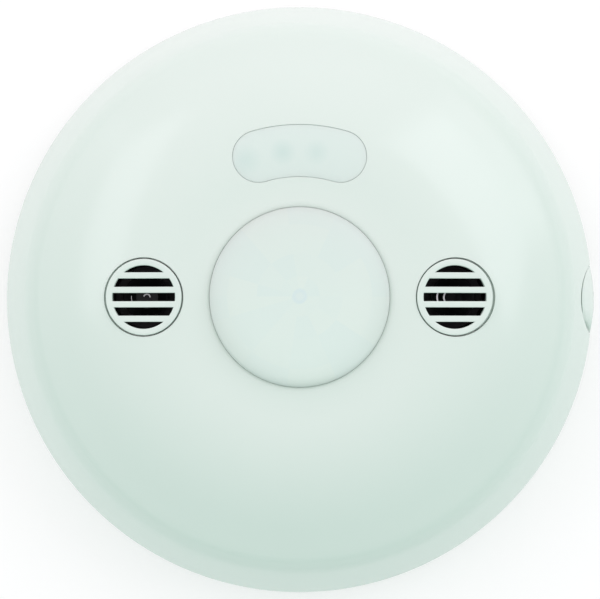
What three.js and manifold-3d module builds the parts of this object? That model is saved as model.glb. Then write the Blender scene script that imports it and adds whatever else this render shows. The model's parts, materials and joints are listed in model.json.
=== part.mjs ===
// A ceiling occupancy sensor that watches by infrared and by ultrasound.
//
// Units are millimetres. The sensor lies on its back: the origin is the centre of the mounting
// face, +Z points out of the ceiling into the room, +Y is the side with the indicator window, and
// +X is the side with the pry notch.

import * as THREE from "three";
import { mergeVertices } from "three/addons/utils/BufferGeometryUtils.js";
import Module from "manifold-3d";

const wasm = await Module();
wasm.setup();

const radians = THREE.MathUtils.degToRad;

// ---------------------------------------------------------------- driving dimensions

// Cover
const coverRadius = 57.15;
const coverWall = 2;
const coverFoot = 0.9;
const plateauHeight = 29;
const plateauRadius = 24;
const creaseRadius = 51.8;
const coneStart = 44.6;
const coneSlope = Math.tan(radians(28));

// Lens
const lensRadius = 17.05;
const lensThickness = 0.9;
const lensRise = 8;
const lensHoleRadius = 17.4;

// Indicator window: a band bent round the lens
const windowArcRadius = 27.8;
const windowHalfWidth = 5;
const windowHalfSweep = radians(16.2);

// Transducers and their grille caps
const transducerReach = 29.6;
const transducerTilt = radians(7);
const transducerRadius = 6.35;
const capRadius = 7.25;
const capHoleRadius = 7.52;
const slotCircleRadius = 5.95;
const slotHeight = 1.51;
const slotPitch = 2.78;
const slotCount = 5;

// Back housing
const floorRadius = 54.5;
const floorThickness = 2.5;
const housingWallRadius = 52;
const housingWallThickness = 1.8;
const housingWallTop = 9;
const cableHoleRadius = 11;
const screwCentreNear = 69.85 / 2;
const screwCentreFar = 88.9 / 2;
const screwSlotWidth = 4.8;

// Pry notch, a round bite out of the cover's rim, and the nose that stands in it
const biteRadius = 11.7;
const biteDepthRadius = 54.4;
const noseRadius = 57.65;
const ledgeTop = 0.7;
const noseTop = 6;
const notchHalfWidth = 7.1;

// Circuit board
const boardBottom = 14;
const boardThickness = 1.6;
const boardRadius = 47.5;
const boardScrewCircle = 43;
const boardScrewAngles = [30, 150, 210, 330].map(radians);

// Gaps between neighbours
const gap = 0.2;
const runningGap = 0.3;

// Round stretches are drawn with these many sides
const fineSides = 144;
const largeSides = 56;
const mediumSides = 32;
const smallSides = 20;
const tinySides = 12;

const boardTop = boardBottom + boardThickness;
const frontSeat = boardTop + gap;
const rearSeat = boardBottom - gap;
const underPlateau = plateauHeight - coverWall;

// ---------------------------------------------------------------- materials

const finishes = {
  coverPlastic: { color: 0xe6f0ea, roughness: 0.35, metalness: 0 },
  lensPlastic: { color: 0xdfece6, roughness: 0.5, metalness: 0 },
  windowPlastic: { color: 0xdde8e5, roughness: 0.45, metalness: 0 },
  blackPlastic: { color: 0x1c1d1f, roughness: 0.55, metalness: 0 },
  whitePlastic: { color: 0xe4e6e2, roughness: 0.5, metalness: 0 },
  bluePlastic: { color: 0x2456a8, roughness: 0.45, metalness: 0 },
  redPlastic: { color: 0xb3261e, roughness: 0.45, metalness: 0 },
  greenPlastic: { color: 0x1f8f4a, roughness: 0.45, metalness: 0 },
  lampPlastic: { color: 0xcfdcd8, roughness: 0.25, metalness: 0 },
  sensorFace: { color: 0x9a7440, roughness: 0.3, metalness: 0 },
  rubber: { color: 0x26282a, roughness: 0.85, metalness: 0 },
  board: { color: 0x1e6b3c, roughness: 0.5, metalness: 0 },
  steel: { color: 0xb9bcc0, roughness: 0.3, metalness: 1 },
  aluminium: { color: 0xc9ccd0, roughness: 0.35, metalness: 1 },
  darkAluminium: { color: 0x26282b, roughness: 0.5, metalness: 0.6 },
  infraredWindow: { color: 0x3a3f4c, roughness: 0.2, metalness: 0.3 },
};

// ---------------------------------------------------------------- shape helpers

function solidOf(geometry) {
  const bare = geometry.clone();
  bare.deleteAttribute("normal");
  bare.deleteAttribute("uv");
  const merged = mergeVertices(bare, 1e-4);
  const vertProperties = new Float32Array(merged.attributes.position.array);
  const triVerts = new Uint32Array(merged.index.array);
  return new wasm.Manifold(new wasm.Mesh({ numProp: 3, vertProperties, triVerts }));
}

function geometryOf(solid) {
  const mesh = solid.getMesh();
  const geometry = new THREE.BufferGeometry();
  geometry.setAttribute("position", new THREE.BufferAttribute(mesh.vertProperties, 3));
  geometry.setIndex(new THREE.BufferAttribute(mesh.triVerts, 1));
  geometry.computeVertexNormals();
  return geometry;
}

function join(geometry, additions) {
  const solid = additions.reduce((sum, piece) => sum.add(solidOf(piece)), solidOf(geometry));
  return geometryOf(solid);
}

function cut(geometry, tools) {
  const solid = tools.reduce((rest, tool) => rest.subtract(solidOf(tool)), solidOf(geometry));
  return geometryOf(solid);
}

function overlapOf(geometry, other) {
  return geometryOf(solidOf(geometry).intersect(solidOf(other)));
}

function box(width, depth, bottom, top, x = 0, y = 0) {
  const geometry = new THREE.BoxGeometry(width, depth, top - bottom);
  return geometry.translate(x, y, (bottom + top) / 2);
}

function cylinder(radius, bottom, top, x = 0, y = 0, sides = smallSides) {
  const geometry = new THREE.CylinderGeometry(radius, radius, top - bottom, sides);
  return geometry.rotateX(Math.PI / 2).translate(x, y, (bottom + top) / 2);
}

// Turns a list of [radius, height] pairs about the Z axis. A profile runs up the outside.
function turned(profile, sides = smallSides) {
  const points = profile.map(([radius, height]) => new THREE.Vector2(radius, height));
  return new THREE.LatheGeometry(points, sides).rotateX(Math.PI / 2);
}

function tube(outer, inner, bottom, top, sides = smallSides) {
  const profile = [[inner, bottom], [outer, bottom], [outer, top], [inner, top], [inner, bottom]];
  return turned(profile, sides);
}

function plate(shape, bottom, top, curveSegments = 5) {
  const settings = { depth: top - bottom, bevelEnabled: false, curveSegments };
  return new THREE.ExtrudeGeometry(shape, settings).translate(0, 0, bottom);
}

function circlePoints(x, y, radius, sides) {
  const points = [];
  for (let step = 0; step < sides; step += 1) {
    const angle = (2 * Math.PI * step) / sides;
    points.push(new THREE.Vector2(x + radius * Math.cos(angle), y + radius * Math.sin(angle)));
  }
  return points;
}

// A stadium: a straight slot with round ends, along Y from one centre to the other.
function slotShape(halfWidth, nearCentre, farCentre) {
  const shape = new THREE.Shape();
  shape.absarc(0, nearCentre, halfWidth, Math.PI, 2 * Math.PI, false);
  shape.absarc(0, farCentre, halfWidth, 0, Math.PI, false);
  return shape;
}

// A band bent round the origin, centred on +Y, with round ends.
function bandShape(radius, halfWidth, halfSweep) {
  const from = Math.PI / 2 - halfSweep;
  const to = Math.PI / 2 + halfSweep;
  const shape = new THREE.Shape();
  shape.absarc(0, 0, radius + halfWidth, from, to, false);
  shape.absarc(radius * Math.cos(to), radius * Math.sin(to), halfWidth, to, to + Math.PI, false);
  shape.absarc(0, 0, radius - halfWidth, to, from, true);
  shape.absarc(radius * Math.cos(from), radius * Math.sin(from), halfWidth, from - Math.PI, from, false);
  return shape;
}

function roundedRectangle(width, depth, corner) {
  const x = width / 2 - corner;
  const y = depth / 2 - corner;
  const shape = new THREE.Shape();
  shape.absarc(x, -y, corner, -Math.PI / 2, 0, false);
  shape.absarc(x, y, corner, 0, Math.PI / 2, false);
  shape.absarc(-x, y, corner, Math.PI / 2, Math.PI, false);
  shape.absarc(-x, -y, corner, Math.PI, 1.5 * Math.PI, false);
  return shape;
}

const group = new THREE.Group();

function addPart(name, geometry, finish, parent = group) {
  const mesh = new THREE.Mesh(geometry, new THREE.MeshStandardMaterial(finishes[finish]));
  mesh.name = name;
  parent.add(mesh);
  return mesh;
}

// ---------------------------------------------------------------- cover

// Height of the cover's outside at a distance from its axis: flat, then bending down to a cone.
function coverHeight(radius) {
  const bend = coneSlope / (coneStart - plateauRadius);
  if (radius <= plateauRadius) {
    return plateauHeight;
  }
  if (radius <= coneStart) {
    return plateauHeight - (bend * (radius - plateauRadius) ** 2) / 2;
  }
  return coverHeight(coneStart) - coneSlope * (radius - coneStart);
}

// Radius of the cover's skirt, which bulges slightly between the crease and the foot.
function skirtRadius(height) {
  const rise = (height - coverFoot) / (coverHeight(creaseRadius) - coverFoot);
  const bulge = 1.1;
  return coverRadius + (creaseRadius - coverRadius) * rise + bulge * rise * (1 - rise);
}

function coverShell() {
  const creaseHeight = coverHeight(creaseRadius);
  const creaseRounding = 0.75;
  const topRadii = [plateauRadius, 30, 35, 40, coneStart];
  const skirtSteps = [1, 0.66, 0.33, 0];
  const stepHeight = (step) => coverFoot + step * (creaseHeight - coverFoot);

  const inside = [[lensHoleRadius, underPlateau]];
  for (const radius of topRadii) {
    inside.push([radius, coverHeight(radius) - coverWall]);
  }
  const innerCrease = creaseRadius - coverWall;
  const wallBelowCrease = coverWall * 1.1;
  inside.push([innerCrease, coverHeight(innerCrease) - wallBelowCrease]);
  for (const step of skirtSteps.slice(1)) {
    inside.push([skirtRadius(stepHeight(step)) - coverWall, stepHeight(step)]);
  }

  const outside = [];
  for (const step of skirtSteps.slice(1).reverse()) {
    outside.push([skirtRadius(stepHeight(step)), stepHeight(step)]);
  }
  outside.push([creaseRadius + creaseRounding / 4, creaseHeight - creaseRounding]);
  outside.push([creaseRadius - creaseRounding, coverHeight(creaseRadius - creaseRounding)]);
  for (const radius of [...topRadii].reverse()) {
    outside.push([radius, coverHeight(radius)]);
  }
  outside.push([lensHoleRadius, plateauHeight]);
  return turned([...inside, ...outside, inside[0]], largeSides);
}

// Stakes under the plateau that hold the lens retainer, on the diagonals.
const stakeReach = 21.5;
const stakeRadius = 1;
const stakeAngles = [45, 135, 225, 315].map(radians);
const retainerBottom = 24.6;
const retainerTop = 25.8;

// Tools that cut through the cover's top and its neighbours run between these heights.
const cutBottom = 20;
const cutTop = 35;

function stakes() {
  return stakeAngles.map((angle) => {
    const x = stakeReach * Math.cos(angle);
    const y = stakeReach * Math.sin(angle);
    return cylinder(stakeRadius, retainerBottom - 0.6, underPlateau + 0.5, x, y, tinySides);
  });
}

// Snap hooks inside the skirt stop just short of the housing wall.
const hookAngles = [55, 125, 235, 305].map(radians);
const hookBottom = 4.2;
const hookTop = 7.4;
const hookWidth = 9;

function hooks() {
  const inner = housingWallRadius + runningGap;
  const outer = skirtRadius(hookTop) - coverWall / 2;
  const middle = (outer + inner) / 2 + gap;
  return hookAngles.map((angle) => {
    return box(outer - inner, hookWidth, hookBottom, hookTop, middle).rotateZ(angle);
  });
}

// A pad inside the skirt keeps the wall whole behind the pry notch.
function notchPad() {
  const inner = housingWallRadius + 2 * gap;
  const thickness = 1.6;
  const bottom = 3;
  const width = 2 * notchHalfWidth + 3;
  const ring = tube(inner + thickness, inner, bottom, housingWallTop, largeSides);
  return overlapOf(ring, box(4 * thickness, width, 0, plateauHeight, inner + thickness));
}

function notchBite() {
  return cylinder(biteRadius, -1, plateauHeight, biteDepthRadius + biteRadius, 0, mediumSides);
}

// A ring that follows the cover's top, between two depths below its outside.
function coverLayer(nearDepth, farDepth) {
  const radii = [20, plateauRadius, 27.5, 31, 34.5, 39];
  const lower = radii.map((radius) => [radius, coverHeight(radius) - farDepth]);
  const upper = radii.map((radius) => [radius, coverHeight(radius) - nearDepth]).reverse();
  return turned([...lower, ...upper, lower[0]], largeSides);
}

// Each hole widens underneath, so that the skirt of the tilted cap stays clear of the cover.
function transducerHoles() {
  const reliefDepth = 1.3;
  const relief = coverLayer(reliefDepth, coverWall + 3);
  const tools = [];
  for (const side of [-1, 1]) {
    const x = side * transducerReach;
    tools.push(cylinder(capHoleRadius, cutBottom, cutTop, x, 0, mediumSides));
    tools.push(overlapOf(cylinder(capHoleRadius + 0.8, cutBottom, cutTop, x, 0, mediumSides), relief));
  }
  return tools;
}

function frontCover() {
  const whole = join(coverShell(), [...stakes(), ...hooks(), notchPad()]);
  const kidney = plate(bandShape(windowArcRadius, windowHalfWidth, windowHalfSweep), cutBottom, cutTop);
  return cut(whole, [...transducerHoles(), kidney, notchBite()]);
}

// ---------------------------------------------------------------- lens and window

// Height of the lens dome's outside above its rim: a flattened dome with a steep edge.
function lensHeight(radius) {
  const flatness = 2.4;
  const edgeRoundness = 0.72;
  return lensRise * (1 - (radius / lensRadius) ** flatness) ** edgeRoundness;
}

function fresnelLens() {
  const rim = plateauHeight - 2 * gap;
  const flangeTop = underPlateau - gap;
  const flangeBottom = flangeTop - 0.7;
  const flangeRadius = lensRadius + 2.6;
  const steps = [0, 3.8, 8, 11, 13.6, 15.4, 16.7];
  const innerScale = (lensRadius - lensThickness) / lensRadius;

  const inside = steps.map((r) => [r * innerScale, rim + lensHeight(r) - lensThickness]);
  inside.push([lensRadius - lensThickness, flangeBottom]);
  const flange = [[flangeRadius, flangeBottom], [flangeRadius, flangeTop], [lensRadius, flangeTop]];
  const outside = steps.map((r) => [r, rim + lensHeight(r)]).reverse();
  return turned([...inside, ...flange, [lensRadius, rim], ...outside], mediumSides);
}

// The retainer leaves room for the indicator window and for the skirts of the two caps.
function lensRetainer() {
  const outer = stakeReach + 2.2;
  const inner = lensRadius - 0.6;
  const ring = tube(outer, inner, retainerBottom, retainerTop, mediumSides);
  const holes = stakeAngles.map((angle) => {
    const x = stakeReach * Math.cos(angle);
    const y = stakeReach * Math.sin(angle);
    return cylinder(stakeRadius + runningGap, cutBottom, cutTop, x, y, tinySides);
  });
  const windowBand = bandShape(windowArcRadius, windowHalfWidth + 1.6, windowHalfSweep * 1.2);
  const capRooms = [-1, 1].map((side) => {
    return cylinder(capRadius + 0.8, cutBottom, cutTop, side * (transducerReach - 2 * gap));
  });
  return cut(ring, [...holes, plate(windowBand, cutBottom, cutTop), ...capRooms]);
}

function indicatorWindow() {
  const recess = 0.1;
  const flangeNear = coverWall + gap;
  const flangeFar = flangeNear + 0.8;
  const paneShape = bandShape(windowArcRadius, windowHalfWidth - gap, windowHalfSweep);
  const flangeShape = bandShape(windowArcRadius, windowHalfWidth + 0.9, windowHalfSweep);
  const pane = overlapOf(plate(paneShape, cutBottom, cutTop), coverLayer(recess, flangeFar));
  const flange = overlapOf(plate(flangeShape, cutBottom, cutTop), coverLayer(flangeNear, flangeFar));
  return join(pane, [flange]);
}

// ---------------------------------------------------------------- transducers

// One slot of the grille: a flat band cut off by the slot circle.
function grilleSlot(centre) {
  const angleAt = (height) => Math.asin(THREE.MathUtils.clamp(height / slotCircleRadius, -1, 1));
  const low = angleAt(centre - slotHeight / 2);
  const high = angleAt(centre + slotHeight / 2);
  const closesOnItself = Math.abs(centre) + slotHeight / 2 >= slotCircleRadius;
  const steps = closesOnItself ? 5 : 2;
  const points = [];
  for (const start of [0, Math.PI]) {
    for (let step = 0; step <= steps; step += 1) {
      const share = start === 0 ? step / steps : 1 - step / steps;
      const angle = low + (high - low) * share;
      const side = start === 0 ? 1 : -1;
      const point = [side * slotCircleRadius * Math.cos(angle), slotCircleRadius * Math.sin(angle)];
      points.push(new THREE.Vector2(...point));
    }
  }
  return new THREE.Path(points);
}

const capDepth = 5;
const grilleThickness = 1.2;
const canTop = -2;
const canBottom = -10;
const canWall = 0.45;

function grilleCap() {
  const face = new THREE.Shape(circlePoints(0, 0, capRadius, mediumSides));
  for (let row = 0; row < slotCount; row += 1) {
    face.holes.push(grilleSlot((row - (slotCount - 1) / 2) * slotPitch));
  }
  const skirt = tube(capRadius, transducerRadius + runningGap, -capDepth, -grilleThickness / 2, mediumSides);
  return join(plate(face, -grilleThickness, 0), [skirt]);
}

function transducerCan() {
  const inner = transducerRadius - canWall;
  const floor = canBottom + 1;
  const profile = [
    [0, canBottom], [transducerRadius, canBottom], [transducerRadius, canTop],
    [inner, canTop], [inner, floor], [0, floor],
  ];
  return turned(profile, smallSides);
}

// The vibrating disc, and the horn that stands on it.
function transducerCone() {
  const discRadius = 5.2;
  const discBottom = canBottom + 1 + gap;
  const discTop = discBottom + 0.8;
  const stemRadius = 1.1;
  const hornRadius = 4.3;
  const hornTop = canTop - 1;
  const hornBottom = hornTop - 3.2;
  const profile = [
    [0, discBottom], [discRadius, discBottom], [discRadius, discTop], [stemRadius, discTop],
    [stemRadius, hornBottom], [hornRadius, hornTop], [hornRadius - 0.4, hornTop + gap],
    [0, hornBottom + 0.6],
  ];
  return turned(profile, smallSides);
}

// The boot is tilted with the can above it, and flat underneath where it stands on the board.
function transducerBoot(placement) {
  const inner = transducerRadius + runningGap;
  const seat = canBottom - runningGap;
  const foot = seat - 6;
  const top = -capDepth - runningGap;
  const profile = [
    [0, foot], [capRadius, foot], [capRadius, top], [inner, top], [inner, seat], [0, seat],
  ];
  const cup = turned(profile, smallSides).applyMatrix4(placement);
  const width = 4 * capRadius;
  return cut(cup, [box(width, width, 0, frontSeat, placement.elements[12])]);
}

function addTransducer(name, side) {
  const mount = new THREE.Group();
  mount.position.set(side * transducerReach, 0, coverHeight(transducerReach) + 0.05);
  mount.rotation.y = side * transducerTilt;
  mount.updateMatrix();
  group.add(mount);
  addPart(`${name}_grille_cap`, grilleCap(), "coverPlastic", mount);
  addPart(`${name}_transducer_can`, transducerCan(), "darkAluminium", mount);
  addPart(`${name}_transducer_cone`, transducerCone(), "darkAluminium", mount);
  addPart(`${name}_transducer_boot`, transducerBoot(mount.matrix), "rubber");
}

// ---------------------------------------------------------------- back housing

const standoffRadius = 3.6;
const boardScrewRadius = 1.4;
const boardScrewFoot = boardBottom - 6;

function boardScrewPlaces() {
  return boardScrewAngles.map((angle) => {
    return [boardScrewCircle * Math.cos(angle), boardScrewCircle * Math.sin(angle)];
  });
}

// The ledge under the pry notch, and the nose that stands on it beside the pry gap.
function noseAndLedge() {
  const ledge = overlapOf(
    cylinder(noseRadius, 0, ledgeTop, 0, 0, fineSides),
    box(12, 2 * notchHalfWidth, -1, ledgeTop + 1, floorRadius),
  );
  const noseFoot = ledgeTop - 2 * gap;
  const profile = [
    [0, noseFoot], [noseRadius, noseFoot], [noseRadius - 0.15, noseTop / 2], [noseRadius - 1.5, noseTop],
    [0, noseTop],
  ];
  const block = overlapOf(
    turned(profile, fineSides),
    cylinder(biteRadius - runningGap, 0, housingWallTop, biteDepthRadius + biteRadius, 0, mediumSides),
  );
  const noseWidth = 11.2;
  const noseOffset = 1.3;
  const side = box(8, noseWidth, -1, housingWallTop, floorRadius + 2, noseOffset);
  return [ledge, overlapOf(block, side)];
}

// A collar stands round the cable hole and keeps the grommet in place.
function cableCollar() {
  const inner = cableHoleRadius + 2.9;
  return tube(inner + 1.6, inner, floorThickness - 0.5, floorThickness + 2, mediumSides);
}

// Grooves in the wall's outside, where the cover's hooks would catch.
function hookGrooves() {
  const depth = 0.8;
  const margin = 0.6;
  const [bottom, top] = [hookBottom - margin, hookTop + margin];
  return hookAngles.map((angle) => {
    return box(2 * depth, hookWidth + 2, bottom, top, housingWallRadius).rotateZ(angle);
  });
}

function mountingSlots() {
  const shape = slotShape(screwSlotWidth / 2, screwCentreNear, screwCentreFar);
  return [0, Math.PI].map((turn) => plate(shape, -1, floorThickness + 1, 8).rotateZ(turn));
}

function backHousing() {
  const disc = cylinder(floorRadius, 0, floorThickness, 0, 0, largeSides);
  const innerWall = housingWallRadius - housingWallThickness;
  const wall = tube(housingWallRadius, innerWall, floorThickness - 0.5, housingWallTop, largeSides);
  const places = boardScrewPlaces();
  const posts = places.map(([x, y]) => cylinder(standoffRadius, 1, rearSeat, x, y, 16));
  const whole = join(disc, [wall, cableCollar(), ...posts, ...noseAndLedge()]);

  const pilotHoles = places.map(([x, y]) => {
    return cylinder(boardScrewRadius + runningGap, boardScrewFoot - 2, boardTop, x, y, tinySides);
  });
  const cableHole = cylinder(cableHoleRadius, -1, floorThickness + 1, 0, 0, mediumSides);
  return cut(whole, [...pilotHoles, cableHole, ...mountingSlots(), ...hookGrooves()]);
}

function leadGrommet() {
  const inner = cableHoleRadius - 3;
  const neck = cableHoleRadius - runningGap;
  const foot = runningGap;
  const flangeRadius = cableHoleRadius + 2.4;
  const flangeBottom = floorThickness + gap;
  const flangeTop = flangeBottom + 1.4;
  const profile = [
    [inner, foot], [neck, foot], [neck, flangeBottom], [flangeRadius, flangeBottom],
    [flangeRadius, flangeTop], [inner, flangeTop], [inner, foot],
  ];
  return turned(profile, mediumSides);
}

// ---------------------------------------------------------------- circuit board

const driverNotchHalfWidth = 4.5;

function mainBoard() {
  const outline = new THREE.Shape(circlePoints(0, 0, boardRadius, largeSides));
  for (const [x, y] of boardScrewPlaces()) {
    outline.holes.push(new THREE.Path(circlePoints(x, y, boardScrewRadius + runningGap, tinySides)));
  }
  const disc = plate(outline, boardBottom, boardTop);
  const notch = slotShape(driverNotchHalfWidth, screwCentreNear, boardRadius + 2 * driverNotchHalfWidth);
  const notches = [0, Math.PI].map((turn) => plate(notch, boardBottom - 1, boardTop + 1, 8).rotateZ(turn));
  return cut(disc, notches);
}

function boardScrew() {
  const headTop = frontSeat + 1.8;
  const headRadius = 2.75;
  const crownRadius = 1.9;
  const crossLength = 3;
  const crossWidth = 0.6;
  const crossFloor = headTop - 0.9;
  const profile = [
    [0, boardScrewFoot], [boardScrewRadius, boardScrewFoot], [boardScrewRadius, frontSeat],
    [headRadius, frontSeat], [headRadius, headTop - 0.6], [crownRadius, headTop], [0, headTop],
  ];
  const recess = [
    box(crossLength, crossWidth, crossFloor, headTop + 1),
    box(crossWidth, crossLength, crossFloor, headTop + 1),
  ];
  return cut(turned(profile, tinySides), recess);
}

// ---------------------------------------------------------------- infrared detector

// The detector's can sits inside a holder ring with two lugs.
function addDetector() {
  const canRadius = 4.1;
  const flangeRadius = canRadius + 0.5;
  const holderInner = flangeRadius + runningGap;
  const holderOuter = holderInner + 1.4;
  const holder = tube(holderOuter, holderInner, frontSeat, frontSeat + 3, smallSides);
  const lugs = [-1, 1].map((side) => {
    return cylinder(1.7, frontSeat, frontSeat + 1.4, side * (holderOuter + 0.9), 0, 16);
  });
  addPart("pyro_holder", join(holder, lugs), "whitePlastic");

  const canFoot = frontSeat + gap;
  const flangeTop = canFoot + 0.5;
  const canHead = canFoot + 5.8;
  const headRounding = 0.4;
  const profile = [
    [0, canFoot], [flangeRadius, canFoot], [flangeRadius, flangeTop], [canRadius, flangeTop],
    [canRadius, canHead - headRounding], [canRadius - headRounding, canHead], [0, canHead],
  ];
  const windowWidth = 4;
  const windowDepth = 3.2;
  const openingFloor = canHead - 0.7;
  const opening = box(windowWidth + 2 * gap, windowDepth + 2 * gap, openingFloor, canHead + 1);
  addPart("pyro_can", cut(turned(profile, smallSides), [opening]), "steel");
  addPart("pyro_window", box(windowWidth, windowDepth, openingFloor + gap, canHead - 0.05), "infraredWindow");
}

// ---------------------------------------------------------------- lamps and light sensor

const lampReach = 3.2;
const lampOffset = 27.5;
const lampRadius = 1.5;
const lampFoot = 20.7;

// A small round lamp: a foot ring, a straight body and a domed head.
function lamp() {
  const footRadius = lampRadius + 0.25;
  const footTop = lampFoot + 0.8;
  const domeStart = lampFoot + 3.2;
  const profile = [
    [0, lampFoot], [footRadius, lampFoot], [footRadius, footTop], [lampRadius, footTop],
    [lampRadius, domeStart], [lampRadius * 0.87, domeStart + 0.7], [lampRadius * 0.53, domeStart + 1.2],
    [0, domeStart + 1.4],
  ];
  return turned(profile, tinySides);
}

function addIndicators() {
  const lamps = [["infrared_lamp", -1], ["ultrasonic_lamp", 1]];
  for (const [name, side] of lamps) {
    addPart(name, lamp(), "lampPlastic").position.set(side * lampReach, lampOffset, 0);
    const spacer = tube(lampRadius + 0.4, lampRadius - 0.6, frontSeat, lampFoot - gap, tinySides);
    addPart(`${name}_spacer`, spacer, "blackPlastic").position.set(side * lampReach, lampOffset, 0);
  }
  const [cellX, cellY] = [-10.3, 25.9];
  const cellRadius = 2.5;
  const cellFoot = 22.6;
  const cell = cylinder(cellRadius, cellFoot, cellFoot + 2.2);
  addPart("light_sensor", cell, "sensorFace").position.set(cellX, cellY, 0);
  const cellSpacer = tube(cellRadius - gap, cellRadius - 1.4, frontSeat, cellFoot - gap, tinySides);
  addPart("light_sensor_spacer", cellSpacer, "blackPlastic").position.set(cellX, cellY, 0);
}

// ---------------------------------------------------------------- settings

const switchCount = 8;
const switchPitch = 2.54;
const switchCentre = [-17.6, -29];
const switchTop = frontSeat + 3.6;
const switchDepth = 8.6;
const sliderWidth = 1.1;
const sliderLength = 1.9;
const sliderTravel = 1.4;
const switchesOn = [1, 2, 5];

// Eight small slide switches in one body. Each slider rests at one end of its well.
function addSettingSwitch() {
  const [x, y] = switchCentre;
  const bodyWidth = switchCount * switchPitch + 1.3;
  const body = box(bodyWidth, switchDepth, frontSeat, switchTop, x, y);
  const wellWidth = sliderWidth + 2 * runningGap;
  const wellLength = sliderLength + sliderTravel + 2 * runningGap;
  const wellFloor = switchTop - 1.3;
  const wells = [];
  for (let index = 0; index < switchCount; index += 1) {
    const wellX = x + (index - (switchCount - 1) / 2) * switchPitch;
    wells.push(box(wellWidth, wellLength, wellFloor, switchTop + 1, wellX, y));
    const side = switchesOn.includes(index + 1) ? 1 : -1;
    const sliderY = y + (side * sliderTravel) / 2;
    const slider = box(sliderWidth, sliderLength, wellFloor + gap, switchTop + 0.7, wellX, sliderY);
    addPart(`setting_slider_${index + 1}`, slider, "whitePlastic");
  }
  addPart("setting_switch_body", cut(body, wells), "redPlastic");
}

const trimmerWidth = 7.4;
const trimmerTop = frontSeat + 3.2;
const trimmerWellFloor = trimmerTop - 0.8;
const knobRadius = 2.9;

function trimmerBody() {
  const body = plate(roundedRectangle(trimmerWidth, trimmerWidth, 0.8), frontSeat, trimmerTop, 2);
  return cut(body, [cylinder(knobRadius + runningGap, trimmerWellFloor, trimmerTop + 1, 0, 0, smallSides)]);
}

// The knob has a screwdriver slot, with a wider head at one end that shows where it points.
function trimmerKnob() {
  const foot = trimmerWellFloor + gap;
  const head = trimmerTop + 2.2;
  const chamfer = 0.4;
  const slotWidth = 0.8;
  const slotFloor = head - 1.1;
  const profile = [
    [0, foot], [knobRadius, foot], [knobRadius - 0.1, head - chamfer],
    [knobRadius - 0.1 - chamfer, head], [0, head],
  ];
  const blade = box(slotWidth, 2 * knobRadius - 1.4, slotFloor, head + 1);
  const arrow = box(2, slotWidth, slotFloor, head + 1, 0, knobRadius - 1.3);
  return cut(turned(profile, smallSides), [blade, arrow]);
}

function addTrimmers() {
  const [nearX, farX] = [10.2, 19.8];
  const [upperY, lowerY] = [-23.6, -33.2];
  const trimmers = [
    ["infrared_range", nearX, upperY, "redPlastic"],
    ["ultrasonic_range", farX, upperY, "greenPlastic"],
    ["time_delay", nearX, lowerY, "blackPlastic"],
    ["light_level", farX, lowerY, "bluePlastic"],
  ];
  for (const [name, x, y, finish] of trimmers) {
    addPart(`${name}_trimmer`, trimmerBody(), "whitePlastic").position.set(x, y, 0);
    addPart(`${name}_knob`, trimmerKnob(), finish).position.set(x, y, 0);
  }
}

function addLearnButton() {
  const buttonY = -18.6;
  const bodyWidth = 6;
  const bodyTop = frontSeat + 3.4;
  const plungerRadius = 1.75;
  const plungerFoot = bodyTop - 0.5;
  const wellFloor = bodyTop - 1.2;
  const block = plate(roundedRectangle(bodyWidth, bodyWidth, 0.5), frontSeat, bodyTop, 2);
  const body = cut(block, [cylinder(plungerRadius + 0.35, wellFloor, bodyTop + 1)]);
  addPart("learn_button_body", body, "steel").position.set(0, buttonY, 0);
  const plunger = cylinder(plungerRadius, plungerFoot, bodyTop + 1.4);
  addPart("learn_button_plunger", plunger, "blackPlastic").position.set(0, buttonY, 0);
}

// ---------------------------------------------------------------- other electronics

// An upright can with a crimped waist near its foot and an eased rim.
function electrolytic(radius, bottom, top) {
  const easing = 0.3;
  const waist = bottom + 1.5;
  const profile = [
    [0, bottom], [radius, bottom], [radius, waist - easing], [radius - easing, waist],
    [radius, waist + easing], [radius, top - easing], [radius - easing, top], [0, top],
  ];
  return turned(profile, smallSides);
}

// A drum core: a groove between two discs, where its winding goes.
function drumCore() {
  const coreRadius = 4.4;
  const coreTop = frontSeat + 4.6;
  const discThickness = 0.9;
  const grooveRadius = 3.5;
  const groove = tube(coreRadius + 1, grooveRadius, frontSeat + discThickness, coreTop - discThickness);
  return cut(cylinder(coreRadius, frontSeat, coreTop), [groove]);
}

// A socket behind the board for the plug on the leads. Its mouth faces the ceiling.
function leadSocket() {
  const width = 15.4;
  const depth = 6.4;
  const wall = 0.8;
  const foot = rearSeat - 7.6;
  const mouth = box(width - 2 * wall, depth - 2 * wall, foot - 1, rearSeat - 1.4);
  return cut(box(width, depth, foot, rearSeat), [mouth]);
}

function addFrontElectronics() {
  const chipShape = roundedRectangle(9.8, 9.8, 0.4);
  const controller = plate(chipShape, frontSeat, frontSeat + 1.4, 2);
  addPart("microcontroller", controller, "blackPlastic").position.set(-13.4, 13.2, 0);
  const amplifier = box(3.9, 8.7, frontSeat, frontSeat + 1.6);
  addPart("amplifier_chip", amplifier, "blackPlastic").position.set(12.4, 13.2, 0);
  const capacitor = electrolytic(4, frontSeat, frontSeat + 7);
  addPart("smoothing_capacitor", capacitor, "aluminium").position.set(22.6, 21, 0);
  addPart("inductor", drumCore(), "blackPlastic").position.set(-25.6, 20, 0);
}

function addRearElectronics() {
  const relayShape = roundedRectangle(15.2, 10.4, 0.6);
  const relayBody = plate(relayShape, rearSeat - 10, rearSeat, 2);
  addPart("relay", relayBody, "blackPlastic").position.set(22, -14, 0);
  const capacitor = electrolytic(4, 0, 9.6).rotateX(Math.PI).translate(0, 0, rearSeat);
  addPart("supply_capacitor", capacitor, "aluminium").position.set(-22, -14, 0);
  addPart("lead_socket", leadSocket(), "whitePlastic").position.set(0, 20, 0);
}

// ---------------------------------------------------------------- assembly

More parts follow.
